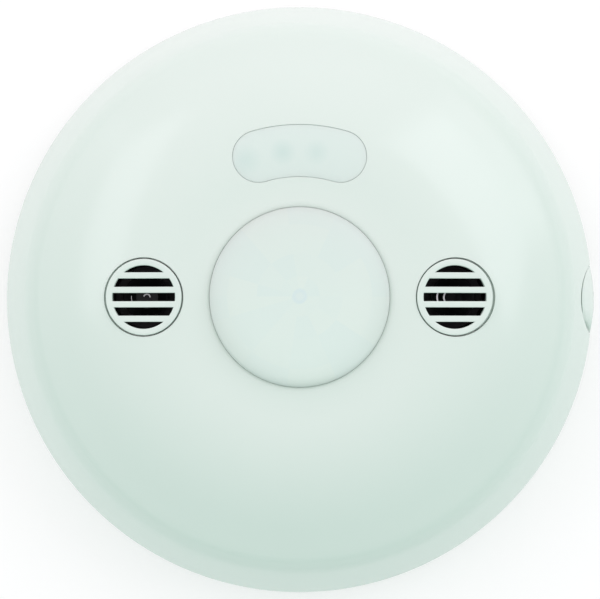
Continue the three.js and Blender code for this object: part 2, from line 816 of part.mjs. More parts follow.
addPart("back_housing", backHousing(), "coverPlastic");
addPart("lead_grommet", leadGrommet(), "rubber");
addPart("main_board", mainBoard(), "board");
boardScrewPlaces().forEach(([x, y], index) => {
  addPart(`board_screw_${index + 1}`, boardScrew(), "steel").position.set(x, y, 0);
});
addFrontElectronics();
addRearElectronics();
addDetector();
addTransducer("left", -1);
addTransducer("right", 1);
addIndicators();
addSettingSwitch();
addTrimmers();
addLearnButton();
addPart("front_cover", frontCover(), "coverPlastic");
addPart("fresnel_lens", fresnelLens(), "lensPlastic");
addPart("lens_retainer", lensRetainer(), "blackPlastic");
addPart("indicator_window", indicatorWindow(), "windowPlastic");

export default group;
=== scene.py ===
# The looks of a round ceiling motion sensor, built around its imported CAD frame.
# Lengths are in millimetres until a mesh is made, when they become metres.

import json
import math
import random

import bpy
import numpy as np
from mathutils import Matrix, Vector
from mathutils.geometry import delaunay_2d_cdt


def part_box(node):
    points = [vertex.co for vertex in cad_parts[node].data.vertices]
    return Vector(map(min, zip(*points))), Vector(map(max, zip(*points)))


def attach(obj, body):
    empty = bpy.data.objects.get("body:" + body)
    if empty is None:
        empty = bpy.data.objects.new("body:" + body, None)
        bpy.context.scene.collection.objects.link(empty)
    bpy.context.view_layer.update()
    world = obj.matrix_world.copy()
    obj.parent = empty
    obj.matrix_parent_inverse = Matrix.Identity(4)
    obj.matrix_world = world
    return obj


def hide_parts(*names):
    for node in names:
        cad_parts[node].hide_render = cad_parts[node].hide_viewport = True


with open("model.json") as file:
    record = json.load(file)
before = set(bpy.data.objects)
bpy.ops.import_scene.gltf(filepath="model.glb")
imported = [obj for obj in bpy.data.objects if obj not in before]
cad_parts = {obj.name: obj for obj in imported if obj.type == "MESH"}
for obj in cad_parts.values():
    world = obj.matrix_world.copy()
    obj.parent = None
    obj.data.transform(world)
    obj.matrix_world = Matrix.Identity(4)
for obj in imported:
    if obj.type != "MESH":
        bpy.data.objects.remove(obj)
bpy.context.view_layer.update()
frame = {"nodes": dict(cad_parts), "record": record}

MM = 0.001
TAU = 2 * math.pi


# ---------------------------------------------------------------- places read from the frame

class Place:
    """Where a CAD node is at rest, in millimetres."""

    def __init__(self, node):
        low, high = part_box(node)
        self.low = Vector(low) / MM
        self.high = Vector(high) / MM
        self.centre = (self.low + self.high) / 2
        self.size = self.high - self.low
        self.x, self.y = self.centre.x, self.centre.y
        self.bottom, self.top = self.low.z, self.high.z
        self.radius = self.size.x / 2


COVER = Place("front_cover")
LENS = Place("fresnel_lens")
BOARD = Place("main_board")
SIDES = {"left": -1, "right": 1}

# ---------------------------------------------------------------- the cover's shape

COVER_WALL = 2.0
COVER_RADIUS = COVER.high.y
COVER_FOOT = COVER.bottom
PLATEAU = COVER.top
PLATEAU_RADIUS = 24.0
CONE_START = 44.6
CREASE_RADIUS = 51.8
CONE_SLOPE = math.tan(math.radians(28))
SKIRT_BULGE = 1.1

LENS_RADIUS = 17.09
LENS_HOLE_RADIUS = 17.12
LENS_RISE = LENS.top - (PLATEAU - 0.4)

WINDOW_ARC_RADIUS = 27.8
WINDOW_HALF_WIDTH = 5.0
WINDOW_HALF_SWEEP = math.radians(16.2)

CAP_REACH = 29.6
CAP_TILT = math.radians(7)
CAP_RADIUS = 7.25
CAP_HOLE_RADIUS = 7.52
CAP_SHIFTS = {-1: 0.0, 1: -0.1}

BITE_RADIUS = 11.7
BITE_DEPTH_RADIUS = 54.4
PAD_RADIUS = 52.4


def cover_height(radius):
    """Height of the cover's outside: flat, then bending down to a cone."""
    bend = CONE_SLOPE / (CONE_START - PLATEAU_RADIUS)
    if radius <= PLATEAU_RADIUS:
        return PLATEAU
    if radius <= CONE_START:
        return PLATEAU - bend * (radius - PLATEAU_RADIUS) ** 2 / 2
    return cover_height(CONE_START) - CONE_SLOPE * (radius - CONE_START)


def cover_slope(radius):
    """How steeply the cover's outside falls at a distance from its axis."""
    share = (radius - PLATEAU_RADIUS) / (CONE_START - PLATEAU_RADIUS)
    return CONE_SLOPE * min(max(share, 0.0), 1.0)


CREASE_HEIGHT = cover_height(CREASE_RADIUS)


def skirt_radius(height):
    """Radius of the cover's skirt, which bulges slightly between the crease and the foot."""
    rise = (height - COVER_FOOT) / (CREASE_HEIGHT - COVER_FOOT)
    straight = COVER_RADIUS + (CREASE_RADIUS - COVER_RADIUS) * rise
    return straight + SKIRT_BULGE * rise * (1 - rise)


def bite_distance(angle):
    """Distance from the axis to the wall of the pry notch in a direction, or None beside it."""
    centre = BITE_DEPTH_RADIUS + BITE_RADIUS
    reach = centre * math.cos(angle)
    inside = BITE_RADIUS ** 2 - (centre * math.sin(angle)) ** 2
    if inside <= 0 or reach <= 0:
        return None
    return reach - math.sqrt(inside)


# ---------------------------------------------------------------- mesh making

def circle(radius, sides, x=0.0, y=0.0, start=0.0):
    """Points round a circle, anticlockwise."""
    turns = [start + TAU * step / sides for step in range(sides)]
    return [(x + radius * math.cos(turn), y + radius * math.sin(turn)) for turn in turns]


def arc(x, y, radius, start, end, steps):
    """Points along an arc, with both its ends."""
    turns = [start + (end - start) * step / steps for step in range(steps + 1)]
    return [(x + radius * math.cos(turn), y + radius * math.sin(turn)) for turn in turns]


def band(radius, half_width, half_sweep, spacing):
    """A band bent round the origin, centred on +Y, with round ends, anticlockwise."""
    low, high = math.pi / 2 - half_sweep, math.pi / 2 + half_sweep
    outer, inner = radius + half_width, radius - half_width
    outer_steps = max(4, round(outer * 2 * half_sweep / spacing))
    end_steps = max(6, round(math.pi * half_width / spacing))
    inner_steps = max(4, round(inner * 2 * half_sweep / spacing))
    high_end = (radius * math.cos(high), radius * math.sin(high))
    low_end = (radius * math.cos(low), radius * math.sin(low))
    points = arc(0, 0, outer, low, high, outer_steps)[:-1]
    points += arc(*high_end, half_width, high, high + math.pi, end_steps)[:-1]
    points += arc(0, 0, inner, high, low, inner_steps)[:-1]
    points += arc(*low_end, half_width, low - math.pi, low, end_steps)[:-1]
    return points


def rounded_box(width, depth, corner, steps=5, x=0.0, y=0.0):
    """A rectangle with round corners, anticlockwise."""
    half_x, half_y = width / 2 - corner, depth / 2 - corner
    points = []
    for turn, (side_x, side_y) in enumerate([(1, 1), (-1, 1), (-1, -1), (1, -1)]):
        start = turn * math.pi / 2
        corner_x, corner_y = x + side_x * half_x, y + side_y * half_y
        points += arc(corner_x, corner_y, corner, start, start + math.pi / 2, steps)
    return points


def inset(loop, distance):
    """The loop moved towards its own left side, which is inwards on an anticlockwise loop."""
    points = np.array(loop, float)
    forward = np.roll(points, -1, 0) - points
    forward /= np.linalg.norm(forward, axis=1)[:, None]
    normal = np.stack([-forward[:, 1], forward[:, 0]], 1)
    both = normal + np.roll(normal, 1, 0)
    both /= np.linalg.norm(both, axis=1)[:, None]
    reach = np.maximum(np.sum(both * normal, 1), 0.35)
    return [tuple(point) for point in points + both * (distance / reach)[:, None]]


def inside_loop(points, loop):
    """For each point, whether it lies inside the loop."""
    corners = np.array(loop, float)
    ends = np.roll(corners, -1, 0)
    x, y = points[:, 0][:, None], points[:, 1][:, None]
    crosses = (corners[:, 1] > y) != (ends[:, 1] > y)
    rise = np.where(ends[:, 1] == corners[:, 1], 1e-12, ends[:, 1] - corners[:, 1])
    at = (ends[:, 0] - corners[:, 0]) * (y - corners[:, 1]) / rise + corners[:, 0]
    return np.sum(crosses & (x < at), 1) % 2 == 1


def fill(outer, holes, extra=()):
    """Triangles between an outer loop and its holes. The points come back in the order given."""
    points, edges = [], []
    for loop in [outer, *holes]:
        first = len(points)
        points += [Vector(point) for point in loop]
        edges += [(first + i, first + (i + 1) % len(loop)) for i in range(len(loop))]
    points += [Vector(point) for point in extra]
    made = delaunay_2d_cdt(points, edges, [], 0, 1e-7)
    origin = [names[0] for names in made[3]]
    faces = [tuple(origin[v] for v in face) for face in made[2]]
    flat = np.array([tuple(point) for point in points])
    middles = flat[np.array(faces)].mean(1)
    keep = inside_loop(middles, outer)
    for hole in holes:
        keep &= ~inside_loop(middles, hole)
    return [face for face, kept in zip(faces, keep) if kept]


class Shape:
    """Vertices and faces in millimetres, gathered before they become one Blender mesh."""

    def __init__(self):
        self.vertices = []
        self.faces = []

    def add(self, vertices):
        first = len(self.vertices)
        self.vertices += [tuple(vertex) for vertex in vertices]
        return list(range(first, len(self.vertices)))

    def strip(self, lower, upper):
        """Quads between two rings of the same length, facing out when both run anticlockwise."""
        count = len(lower)
        for i in range(count):
            j = (i + 1) % count
            self.faces.append((lower[i], lower[j], upper[j], upper[i]))

    def fan(self, ring, tip, outward_up=True):
        """Triangles between a ring and one point above it, or below it."""
        count = len(ring)
        for i in range(count):
            j = (i + 1) % count
            self.faces.append((ring[i], ring[j], tip) if outward_up else (ring[j], ring[i], tip))

    def absorb(self, other, matrix=None):
        """Takes in another Shape, placed by the matrix."""
        vertices = other.vertices
        if matrix is not None:
            vertices = [tuple(matrix @ Vector(vertex)) for vertex in vertices]
        names = self.add(vertices)
        self.faces += [tuple(names[v] for v in face) for face in other.faces]
        return self


def turned(profile, sides=96, x=0.0, y=0.0):
    """A profile of (radius, height) pairs turned about Z. It ends on the axis or on its own start."""
    shape = Shape()
    closed = profile[0] == profile[-1]
    rows = profile[:-1] if closed else profile
    rings = []
    for radius, height in rows:
        if radius < 1e-9:
            rings.append(shape.add([(x, y, height)])[0])
        else:
            rings.append(shape.add([(px, py, height) for px, py in circle(radius, sides, x, y)]))
    pairs = list(zip(rings, rings[1:]))
    if closed:
        pairs.append((rings[-1], rings[0]))
    for lower, upper in pairs:
        if isinstance(lower, int):
            shape.fan(upper, lower, outward_up=False)
        elif isinstance(upper, int):
            shape.fan(lower, upper)
        else:
            shape.strip(lower, upper)
    return shape


def eased(profile, radius, steps=4):
    """The profile with each inner corner rounded by an arc of about that radius."""
    closed = profile[0] == profile[-1]
    points = [Vector(point) for point in (profile[:-1] if closed else profile)]
    result = []
    for i, point in enumerate(points):
        if not closed and i in (0, len(points) - 1):
            result.append(tuple(point))
            continue
        before, after = points[i - 1] - point, points[(i + 1) % len(points)] - point
        reach = min(radius, before.length * 0.45, after.length * 0.45)
        start, end = point + before.normalized() * reach, point + after.normalized() * reach
        for step in range(steps + 1):
            t = step / steps
            blend = start * (1 - t) ** 2 + point * 2 * t * (1 - t) + end * t ** 2
            result.append(tuple(blend))
    if closed:
        result.append(result[0])
    return result


def rounding(bottom, top, radius, steps=3):
    """(inset, height) pairs up a wall whose lower and upper edges are rounded."""
    low, high = [], []
    for step in range(steps + 1):
        turn = step / steps * math.pi / 2
        low.append((radius * (1 - math.sin(turn)), bottom + radius * (1 - math.cos(turn))))
        high.append((radius * (1 - math.cos(turn)), top - radius * (1 - math.sin(turn))))
    return low + high


def slab(outer, holes, levels):
    """A plate with holes. Levels are (inset, height) pairs from its lower face to its upper one."""
    shape = Shape()
    rings = []
    for distance, height in levels:
        loops = [inset(outer, distance)] + [inset(hole, -distance) for hole in holes]
        rings.append([shape.add([(x, y, height) for x, y in loop]) for loop in loops])
    for lower, upper in zip(rings, rings[1:]):
        shape.strip(lower[0], upper[0])
        for low_hole, high_hole in zip(lower[1:], upper[1:]):
            shape.strip(high_hole, low_hole)
    for (distance, _), ring, faces_up in ((levels[0], rings[0], False), (levels[-1], rings[-1], True)):
        loops = [inset(outer, distance)] + [inset(hole, -distance) for hole in holes]
        names = [name for loop in ring for name in loop]
        for a, b, c in fill(loops[0], loops[1:]):
            face = (names[a], names[b], names[c])
            shape.faces.append(face if faces_up else face[::-1])
    return shape


def block(width, depth, bottom, top, x=0.0, y=0.0, edge=0.15, corner=0.3):
    """A box with eased edges and corners. Its corners are always rounder than its edges."""
    outline = rounded_box(width, depth, max(corner, edge * 1.6), 3, x, y)
    return slab(outline, [], rounding(bottom, top, edge, 2))


def pin(radius, bottom, top, x=0.0, y=0.0, edge=0.1, sides=24):
    """A short round post with eased ends."""
    return turned(eased([(0, bottom), (radius, bottom), (radius, top), (0, top)], edge, 2), sides, x, y)


def piece(name, shape, material, body, stands_for=(), sharp=35.0, normals=None):
    """Makes one Blender object of a Shape and joins it to the frame."""
    mesh = bpy.data.meshes.new(name)
    vertices = [(x * MM, y * MM, z * MM) for x, y, z in shape.vertices]
    mesh.from_pydata(vertices, [], shape.faces)
    mesh.validate()
    for polygon in mesh.polygons:
        polygon.use_smooth = True
    mesh.set_sharp_from_angle(angle=math.radians(sharp))
    if normals is not None:
        mesh.normals_split_custom_set_from_vertices(normals)
    mesh.materials.append(material)
    made = bpy.data.objects.new(name, mesh)
    bpy.context.scene.collection.objects.link(made)
    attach(made, body)
    if stands_for:
        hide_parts(*stands_for)
    return made


# ---------------------------------------------------------------- materials

class Nodes:
    """A small helper that wires up one material's nodes."""

    def __init__(self, name):
        self.material = bpy.data.materials.new(name)
        self.material.use_nodes = True
        self.tree = self.material.node_tree
        self.shader = next(n for n in self.tree.nodes if n.type == "BSDF_PRINCIPLED")

    def set(self, **values):
        for key, value in values.items():
            self.shader.inputs[key.replace("_", " ")].default_value = value
        return self

    def add(self, kind, **settings):
        node = self.tree.nodes.new(kind)
        for key, value in settings.items():
            if hasattr(node, key):
                setattr(node, key, value)
            else:
                node.inputs[key.replace("_", " ")].default_value = value
        return node

    def link(self, source, target):
        self.tree.links.new(source, target)

    def position(self):
        return self.add("ShaderNodeTexCoord").outputs["Object"]

    def noise(self, size_mm, detail=2.0, roughness=0.5):
        """Noise whose patches are about that many millimetres across, from 0 to 1."""
        scale = 1.0 / (size_mm * MM)
        node = self.add("ShaderNodeTexNoise", Scale=scale, Detail=detail, Roughness=roughness)
        self.link(self.position(), node.inputs["Vector"])
        return node.outputs["Fac"]

    def span(self, source, low, high, to_low, to_high):
        """Maps a range of a value onto another range, clamped."""
        node = self.add("ShaderNodeMapRange")
        self.link(source, node.inputs["Value"])
        ends = {"From Min": low, "From Max": high, "To Min": to_low, "To Max": to_high}
        for key, value in ends.items():
            node.inputs[key].default_value = value
        return node.outputs["Result"]

    def mix(self, factor, first, second):
        """Mixes two colours. Each may be a colour or a socket."""
        node = self.add("ShaderNodeMix", data_type="RGBA")
        self.link(factor, node.inputs["Factor"])
        for key, value in (("A", first), ("B", second)):
            target = next(i for i in node.inputs if i.name == key and i.type == "RGBA")
            if isinstance(value, (tuple, list)):
                target.default_value = (*value, 1.0)
            else:
                self.link(value, target)
        return next(o for o in node.outputs if o.type == "RGBA")

    def colour(self, source):
        self.link(source, self.shader.inputs["Base Color"])

    def rough(self, source):
        self.link(source, self.shader.inputs["Roughness"])

    def softened_normal(self, lift):
        """The surface's normal leaned towards straight up, as light spreading in milky plastic makes it."""
        lifted = self.add("ShaderNodeVectorMath", operation="ADD")
        self.link(self.add("ShaderNodeNewGeometry").outputs["Normal"], lifted.inputs[0])
        lifted.inputs[1].default_value = (0.0, 0.0, lift)
        even = self.add("ShaderNodeVectorMath", operation="NORMALIZE")
        self.link(lifted.outputs["Vector"], even.inputs[0])
        return even.outputs["Vector"]

    def bump(self, source, height_mm, strength=1.0, after=None):
        node = self.add("ShaderNodeBump", Strength=strength, Distance=height_mm * MM)
        self.link(source, node.inputs["Height"])
        if after is not None:
            self.link(after, node.inputs["Normal"])
        self.link(node.outputs["Normal"], self.shader.inputs["Normal"])
        return node.outputs["Normal"]


def moulded_plastic(name, colour, roughness, grain_mm=0.35, grain_height=0.004, drift=0.03):
    """Moulded plastic: a faint drift of colour, uneven gloss, and a fine moulded grain."""
    nodes = Nodes(name)
    darker = tuple(channel * (1 - drift) for channel in colour)
    nodes.colour(nodes.mix(nodes.noise(14, 3), colour, darker))
    nodes.rough(nodes.span(nodes.noise(5, 4), 0.3, 0.7, roughness * 0.88, roughness * 1.12))
    nodes.bump(nodes.noise(grain_mm, 3, 0.6), grain_height, 0.5)
    nodes.set(IOR=1.49)
    return nodes.material


def bare_metal(name, colour, roughness, grain_mm=0.25, grain_height=0.004):
    """Plated or drawn metal: uneven gloss and a fine grain."""
    nodes = Nodes(name)
    duller = tuple(channel * 0.8 for channel in colour)
    nodes.colour(nodes.mix(nodes.noise(2.5, 4), colour, duller))
    nodes.rough(nodes.span(nodes.noise(1.2, 4), 0.3, 0.7, roughness * 0.75, roughness * 1.3))
    nodes.bump(nodes.noise(grain_mm, 3, 0.6), grain_height, 0.5)
    nodes.set(Metallic=1.0)
    return nodes.material


COVER_COLOUR = (0.71, 0.80, 0.75)


def cover_material():
    """Glossy pale plastic, with barely any grain."""
    nodes = Nodes("cover_plastic")
    shade = tuple(channel * 0.985 for channel in COVER_COLOUR)
    nodes.colour(nodes.mix(nodes.noise(22, 2), COVER_COLOUR, shade))
    nodes.rough(nodes.span(nodes.noise(9, 3), 0.3, 0.7, 0.15, 0.18))
    nodes.bump(nodes.noise(0.6, 2, 0.5), 0.0008, 0.2)
    nodes.set(IOR=1.5, Subsurface_Weight=0.12, Subsurface_Radius=(1.0, 1.0, 1.0), Subsurface_Scale=0.0015)
    return nodes.material


LENS_COLOUR = (0.70, 0.80, 0.745)
SKY_LEAN = math.radians(32)
# Strength of the painted glow on the lens, on its side away from the bright sky.
LENS_PAINTED_GLOW = 0.13


def lens_material():
    """Milky lens: the facets show as faint steps of tone, because the prisms are inside.

    Painted glow: a faint emission, strongest on the side turned away from the brightest sky, stands in for
    the light that the dome would let through.
    """
    nodes = Nodes("lens_plastic")
    nodes.set(IOR=1.5, Subsurface_Weight=0.25, Subsurface_Radius=(1.0, 1.0, 1.0), Subsurface_Scale=0.002)
    split = nodes.add("ShaderNodeSeparateXYZ")
    nodes.link(nodes.position(), split.inputs["Vector"])
    flat = nodes.add("ShaderNodeCombineXYZ")
    nodes.link(split.outputs["X"], flat.inputs["X"])
    nodes.link(split.outputs["Y"], flat.inputs["Y"])
    reach = nodes.add("ShaderNodeVectorMath", operation="LENGTH")
    nodes.link(flat.outputs["Vector"], reach.inputs[0])
    turn = nodes.add("ShaderNodeMath", operation="ARCTAN2")
    nodes.link(split.outputs["Y"], turn.inputs[0])
    nodes.link(split.outputs["X"], turn.inputs[1])
    sector = nodes.add("ShaderNodeMath", operation="SNAP")
    nodes.link(turn.outputs["Value"], sector.inputs[0])
    sector.inputs[1].default_value = TAU / 11
    ring = nodes.add("ShaderNodeValToRGB")
    ring.color_ramp.interpolation = "CONSTANT"
    nodes.link(nodes.span(reach.outputs["Value"], 0, LENS_RADIUS * MM, 0, 1), ring.inputs["Fac"])
    elements = ring.color_ramp.elements
    elements[0].color = (0.0, 0.0, 0.0, 1)
    elements[1].position, elements[1].color = 0.095, (0.25, 0.25, 0.25, 1)
    for position, value in ((0.22, 0.5), (0.47, 0.75), (0.8, 1.0)):
        elements.new(position).color = (value, value, value, 1)
    cell = nodes.add("ShaderNodeCombineXYZ")
    nodes.link(sector.outputs["Value"], cell.inputs["X"])
    nodes.link(ring.outputs["Color"], cell.inputs["Y"])
    tone = nodes.add("ShaderNodeTexWhiteNoise", noise_dimensions="2D")
    nodes.link(cell.outputs["Vector"], tone.inputs["Vector"])
    cool = (LENS_COLOUR[0] * 0.965, LENS_COLOUR[1] * 0.985, LENS_COLOUR[2] * 1.0)
    facets = nodes.mix(tone.outputs["Value"], LENS_COLOUR, cool)
    bluish = (LENS_COLOUR[0] * 0.92, LENS_COLOUR[1] * 0.955, LENS_COLOUR[2] * 1.01)
    paler = (LENS_COLOUR[0] * 0.96, LENS_COLOUR[1] * 0.975, LENS_COLOUR[2] * 1.01)
    disc = nodes.mix(nodes.span(reach.outputs["Value"], 1.2 * MM, 1.6 * MM, 1, 0), facets, bluish)
    nodes.colour(nodes.mix(nodes.span(reach.outputs["Value"], 0.5 * MM, 1.0 * MM, 1, 0), disc, paler))
    # Painted glow: an emission that grows where the lens faces away from the brightest sky, standing in for
    # light passing through the dome.
    towards = nodes.add("ShaderNodeVectorMath", operation="DOT_PRODUCT")
    nodes.link(nodes.add("ShaderNodeNewGeometry").outputs["Normal"], towards.inputs[0])
    towards.inputs[1].default_value = (0.0, math.sin(SKY_LEAN), math.cos(SKY_LEAN))
    painted_glow = nodes.span(towards.outputs["Value"], 0.2, 1.0, LENS_PAINTED_GLOW, 0.0)
    nodes.link(painted_glow, nodes.shader.inputs["Emission Strength"])
    nodes.set(Emission_Color=(1.0, 0.98, 0.95, 1.0))
    nodes.rough(nodes.span(nodes.noise(4, 3), 0.3, 0.7, 0.30, 0.36))
    nodes.bump(nodes.noise(0.5, 2), 0.002, 0.4, nodes.softened_normal(2.0))
    return nodes.material


def window_material():
    """Frosted pane: the lamps and the light sensor behind it show as soft dark spots."""
    nodes = Nodes("window_plastic")
    nodes.set(IOR=1.5, Subsurface_Weight=0.3, Subsurface_Radius=(1.0, 1.0, 1.0), Subsurface_Scale=0.002)
    pane = (0.69, 0.785, 0.745)
    shade = (0.60, 0.73, 0.69)
    colour = pane
    spots = (("infrared_lamp", 1.0, 2.7), ("ultrasonic_lamp", 0.75, 2.6), ("light_sensor", 0.8, 3.4))
    for node, strength, spread in spots:
        place = Place(node)
        offset = nodes.add("ShaderNodeVectorMath", operation="DISTANCE")
        nodes.link(nodes.position(), offset.inputs[0])
        offset.inputs[1].default_value = (place.x * MM, place.y * MM, (PLATEAU - 0.3) * MM)
        near = nodes.span(offset.outputs["Value"], 0, spread * MM, strength, 0)
        smooth = nodes.add("ShaderNodeMath", operation="SMOOTH_MIN")
        nodes.link(near, smooth.inputs[0])
        smooth.inputs[1].default_value = strength * 0.9
        smooth.inputs[2].default_value = strength * 0.3
        colour = nodes.mix(smooth.outputs["Value"], colour, shade)
    nodes.colour(colour)
    nodes.rough(nodes.span(nodes.noise(4, 3), 0.3, 0.7, 0.34, 0.42))
    nodes.bump(nodes.noise(0.3, 2), 0.003, 0.4)
    return nodes.material


MATERIALS = {
    "cover_plastic": cover_material(),
    "lens_plastic": lens_material(),
    "window_plastic": window_material(),
    "black_plastic": moulded_plastic("black_plastic", (0.012, 0.012, 0.013), 0.5),
    "white_plastic": moulded_plastic("white_plastic", (0.72, 0.73, 0.70), 0.42),
    "blue_plastic": moulded_plastic("blue_plastic", (0.02, 0.09, 0.38), 0.4),
    "red_plastic": moulded_plastic("red_plastic", (0.42, 0.02, 0.015), 0.4),
    "green_plastic": moulded_plastic("green_plastic", (0.01, 0.26, 0.06), 0.4),
    "lamp_plastic": moulded_plastic("lamp_plastic", (0.72, 0.78, 0.76), 0.12),
    "sensor_face": moulded_plastic("sensor_face", (0.5, 0.28, 0.08), 0.2),
    "rubber": moulded_plastic("rubber", (0.02, 0.02, 0.022), 0.8, 0.5, 0.01),
    "board": moulded_plastic("board", (0.012, 0.14, 0.045), 0.35),
    "steel": bare_metal("steel", (0.62, 0.63, 0.65), 0.28),
    "aluminium": bare_metal("aluminium", (0.74, 0.75, 0.77), 0.35),
    "dark_aluminium": bare_metal("dark_aluminium", (0.012, 0.012, 0.013), 0.45),
    "copper": bare_metal("copper", (0.62, 0.25, 0.1), 0.3),
    "infrared_window": moulded_plastic("infrared_window", (0.02, 0.024, 0.035), 0.08),
}


# ---------------------------------------------------------------- carving

def scratch_object(shape):
    """A throwaway Blender object of a Shape, in millimetres."""
    mesh = bpy.data.meshes.new("scratch")
    mesh.from_pydata(shape.vertices, [], shape.faces)
    made = bpy.data.objects.new("scratch", mesh)
    bpy.context.scene.collection.objects.link(made)
    return made


def carved(shape, cutters=(), joined=(), edge=0.0, segments=2):
    """The Shape with others joined on and cut away, and its edges eased."""
    scratch = [scratch_object(shape)]
    base = scratch[0]
    for operation, tools in (("UNION", joined), ("DIFFERENCE", cutters)):
        for tool in tools:
            scratch.append(scratch_object(tool))
            step = base.modifiers.new("step", "BOOLEAN")
            step.operation, step.object, step.solver = operation, scratch[-1], "EXACT"
    if edge:
        bevel = base.modifiers.new("edge", "BEVEL")
        bevel.width, bevel.segments, bevel.limit_method = edge, segments, "ANGLE"
        bevel.angle_limit = math.radians(40)
    evaluated = base.evaluated_get(bpy.context.evaluated_depsgraph_get())
    mesh = evaluated.to_mesh()
    result = Shape()
    result.add([vertex.co for vertex in mesh.vertices])
    result.faces = [tuple(polygon.vertices) for polygon in mesh.polygons]
    evaluated.to_mesh_clear()
    for made in scratch:
        mesh = made.data
        bpy.data.objects.remove(made)
        bpy.data.meshes.remove(mesh)
    return result


def moved(shape, x=0.0, y=0.0, z=0.0, turn=0.0):
    """The Shape turned about Z, then moved."""
    return Shape().absorb(shape, Matrix.Translation((x, y, z)) @ Matrix.Rotation(turn, 4, "Z"))


def ring_shape(inner, outer, bottom, top, edge=0.12, sides=144, x=0.0, y=0.0):
    """A flat ring or a tube, with eased edges."""
    profile = [(inner, bottom), (outer, bottom), (outer, top), (inner, top), (inner, bottom)]
    return turned(eased(profile, edge, 3), sides, x, y)


def plain_box(width, depth, bottom, top, x=0.0, y=0.0):
    """A box with sharp edges, mostly to cut with."""
    outline = [(x + width / 2, y + depth / 2), (x - width / 2, y + depth / 2),
               (x - width / 2, y - depth / 2), (x + width / 2, y - depth / 2)]
    return slab(outline, [], [(0, bottom), (0, top)])


def plain_pin(radius, bottom, top, x=0.0, y=0.0, sides=48):
    """A round pin with sharp edges, mostly to cut with."""
    return turned([(0, bottom), (radius, bottom), (radius, top), (0, top)], sides, x, y)


def made_of(slot, name, shape, node=None, body="base", sharp=35.0):
    """A piece whose material has the name of its slot."""
    return piece(name, shape, MATERIALS[slot], body, [node] if node else [], sharp)


# ---------------------------------------------------------------- cover

GRID_SPACING = 1.5
INNER_ZONE_RADIUS = 42.5


class Hole:
    """A hole through the cover's top.

    It has an outline, an eased edge that is so wide and falls so far, and steps below that edge,
    each with its inset from the outline and its depth below the outside.
    """

    def __init__(self, outline, rounded, fall, steps=()):
        self.outline = outline
        self.rounded = rounded
        self.fall = fall
        self.steps = steps


def cover_holes():
    """The holes for the lens, the two grille caps and the window."""
    relief_depth, relief_width = 1.3, 0.8
    holes = [Hole(circle(LENS_HOLE_RADIUS, 144), 1.25, 0.42)]
    for side in SIDES.values():
        outline = circle(CAP_HOLE_RADIUS, 96, side * CAP_REACH)
        holes.append(Hole(outline, 0.14, 0.14, [(0.0, relief_depth), (-relief_width, relief_depth)]))
    kidney = band(WINDOW_ARC_RADIUS, WINDOW_HALF_WIDTH, WINDOW_HALF_SWEEP, 0.5)
    holes.append(Hole(kidney, 0.12, 0.12))
    return holes


def surface_normal(x, y):
    """Which way the cover's outside faces above a point."""
    radius = math.hypot(x, y)
    slope = cover_slope(radius)
    outward = Vector((x / radius, y / radius, 0)) if radius > 1e-9 else Vector((0, 0, 0))
    return (outward * slope + Vector((0, 0, 1))).normalized()


def notch_columns():
    """Directions of the cover's columns, closer together across the pry notch."""
    edge = math.radians(9)
    fine = math.radians(0.3)
    coarse = math.radians(1.5)
    turns = [edge * (2 * step / round(2 * edge / fine) - 1) for step in range(round(2 * edge / fine))]
    count = round((TAU - 2 * edge) / coarse)
    turns += [edge + (TAU - 2 * edge) * step / count for step in range(count)]
    return turns


def skirt_column(turn):
    """(radius, height) pairs down the outside of one column and back up its inside."""
    rows = []
    for step in range(1, 7):
        radius = INNER_ZONE_RADIUS + (CREASE_RADIUS - 2.2 - INNER_ZONE_RADIUS) * step / 6
        rows.append((radius, cover_height(radius)))
    crease_end = CREASE_HEIGHT - 3.2
    start = Vector(rows[-1])
    corner = Vector((CREASE_RADIUS, CREASE_HEIGHT))
    end = Vector((skirt_radius(crease_end), crease_end))
    for step in range(1, 7):
        t = step / 6
        rows.append(tuple(start * (1 - t) ** 2 + corner * 2 * t * (1 - t) + end * t ** 2))

    foot_edge = 0.35
    bite = bite_distance(turn)
    foot, split = COVER_FOOT, COVER_FOOT + foot_edge
    if bite is not None and bite < skirt_radius(split):
        low, high = split, crease_end
        for _ in range(40):
            middle = (low + high) / 2
            low, high = (middle, high) if skirt_radius(middle) > bite else (low, middle)
        split = low
        foot = min(COVER_FOOT + (split - COVER_FOOT) * 0.4, 2.8)
    for step in range(1, 17):
        height = crease_end + (split - crease_end) * step / 16
        rows.append((skirt_radius(height), height))
    wall_radius = rows[-1][0]
    lower_edge = 0.25
    for step in range(1, 7):
        height = split + (foot + lower_edge - split) * step / 6
        rows.append((min(skirt_radius(height), wall_radius), height))
    rows.append((wall_radius - 0.08, foot + 0.07))
    rows.append((wall_radius - 0.25, foot))

    inner_top = CREASE_HEIGHT - COVER_WALL
    pad_top = 9.0
    for step in range(0, 11):
        height = foot + (inner_top - foot) * step / 10
        radius = skirt_radius(height) - COVER_WALL
        if bite is not None and height < pad_top:
            radius = min(radius, max(PAD_RADIUS, bite - 1.9))
        rows.append((min(radius, wall_radius - 0.6), height))
    for step in range(0, 4):
        radius = CREASE_RADIUS - 2.4 + (INNER_ZONE_RADIUS - CREASE_RADIUS + 2.4) * step / 3
        rows.append((radius, cover_height(radius) - COVER_WALL))
    return rows


def smoothed_wall(rows_by_column):
    """Softens the top edge of the notch by easing each row towards its neighbours in its own column."""
    eased_rows = []
    for rows in rows_by_column:
        points = [Vector(row) for row in rows]
        for index in range(24, 32):
            points[index] = points[index].lerp((points[index - 1] + points[index + 1]) / 2, 0.5)
        eased_rows.append([tuple(point) for point in points])
    return eased_rows


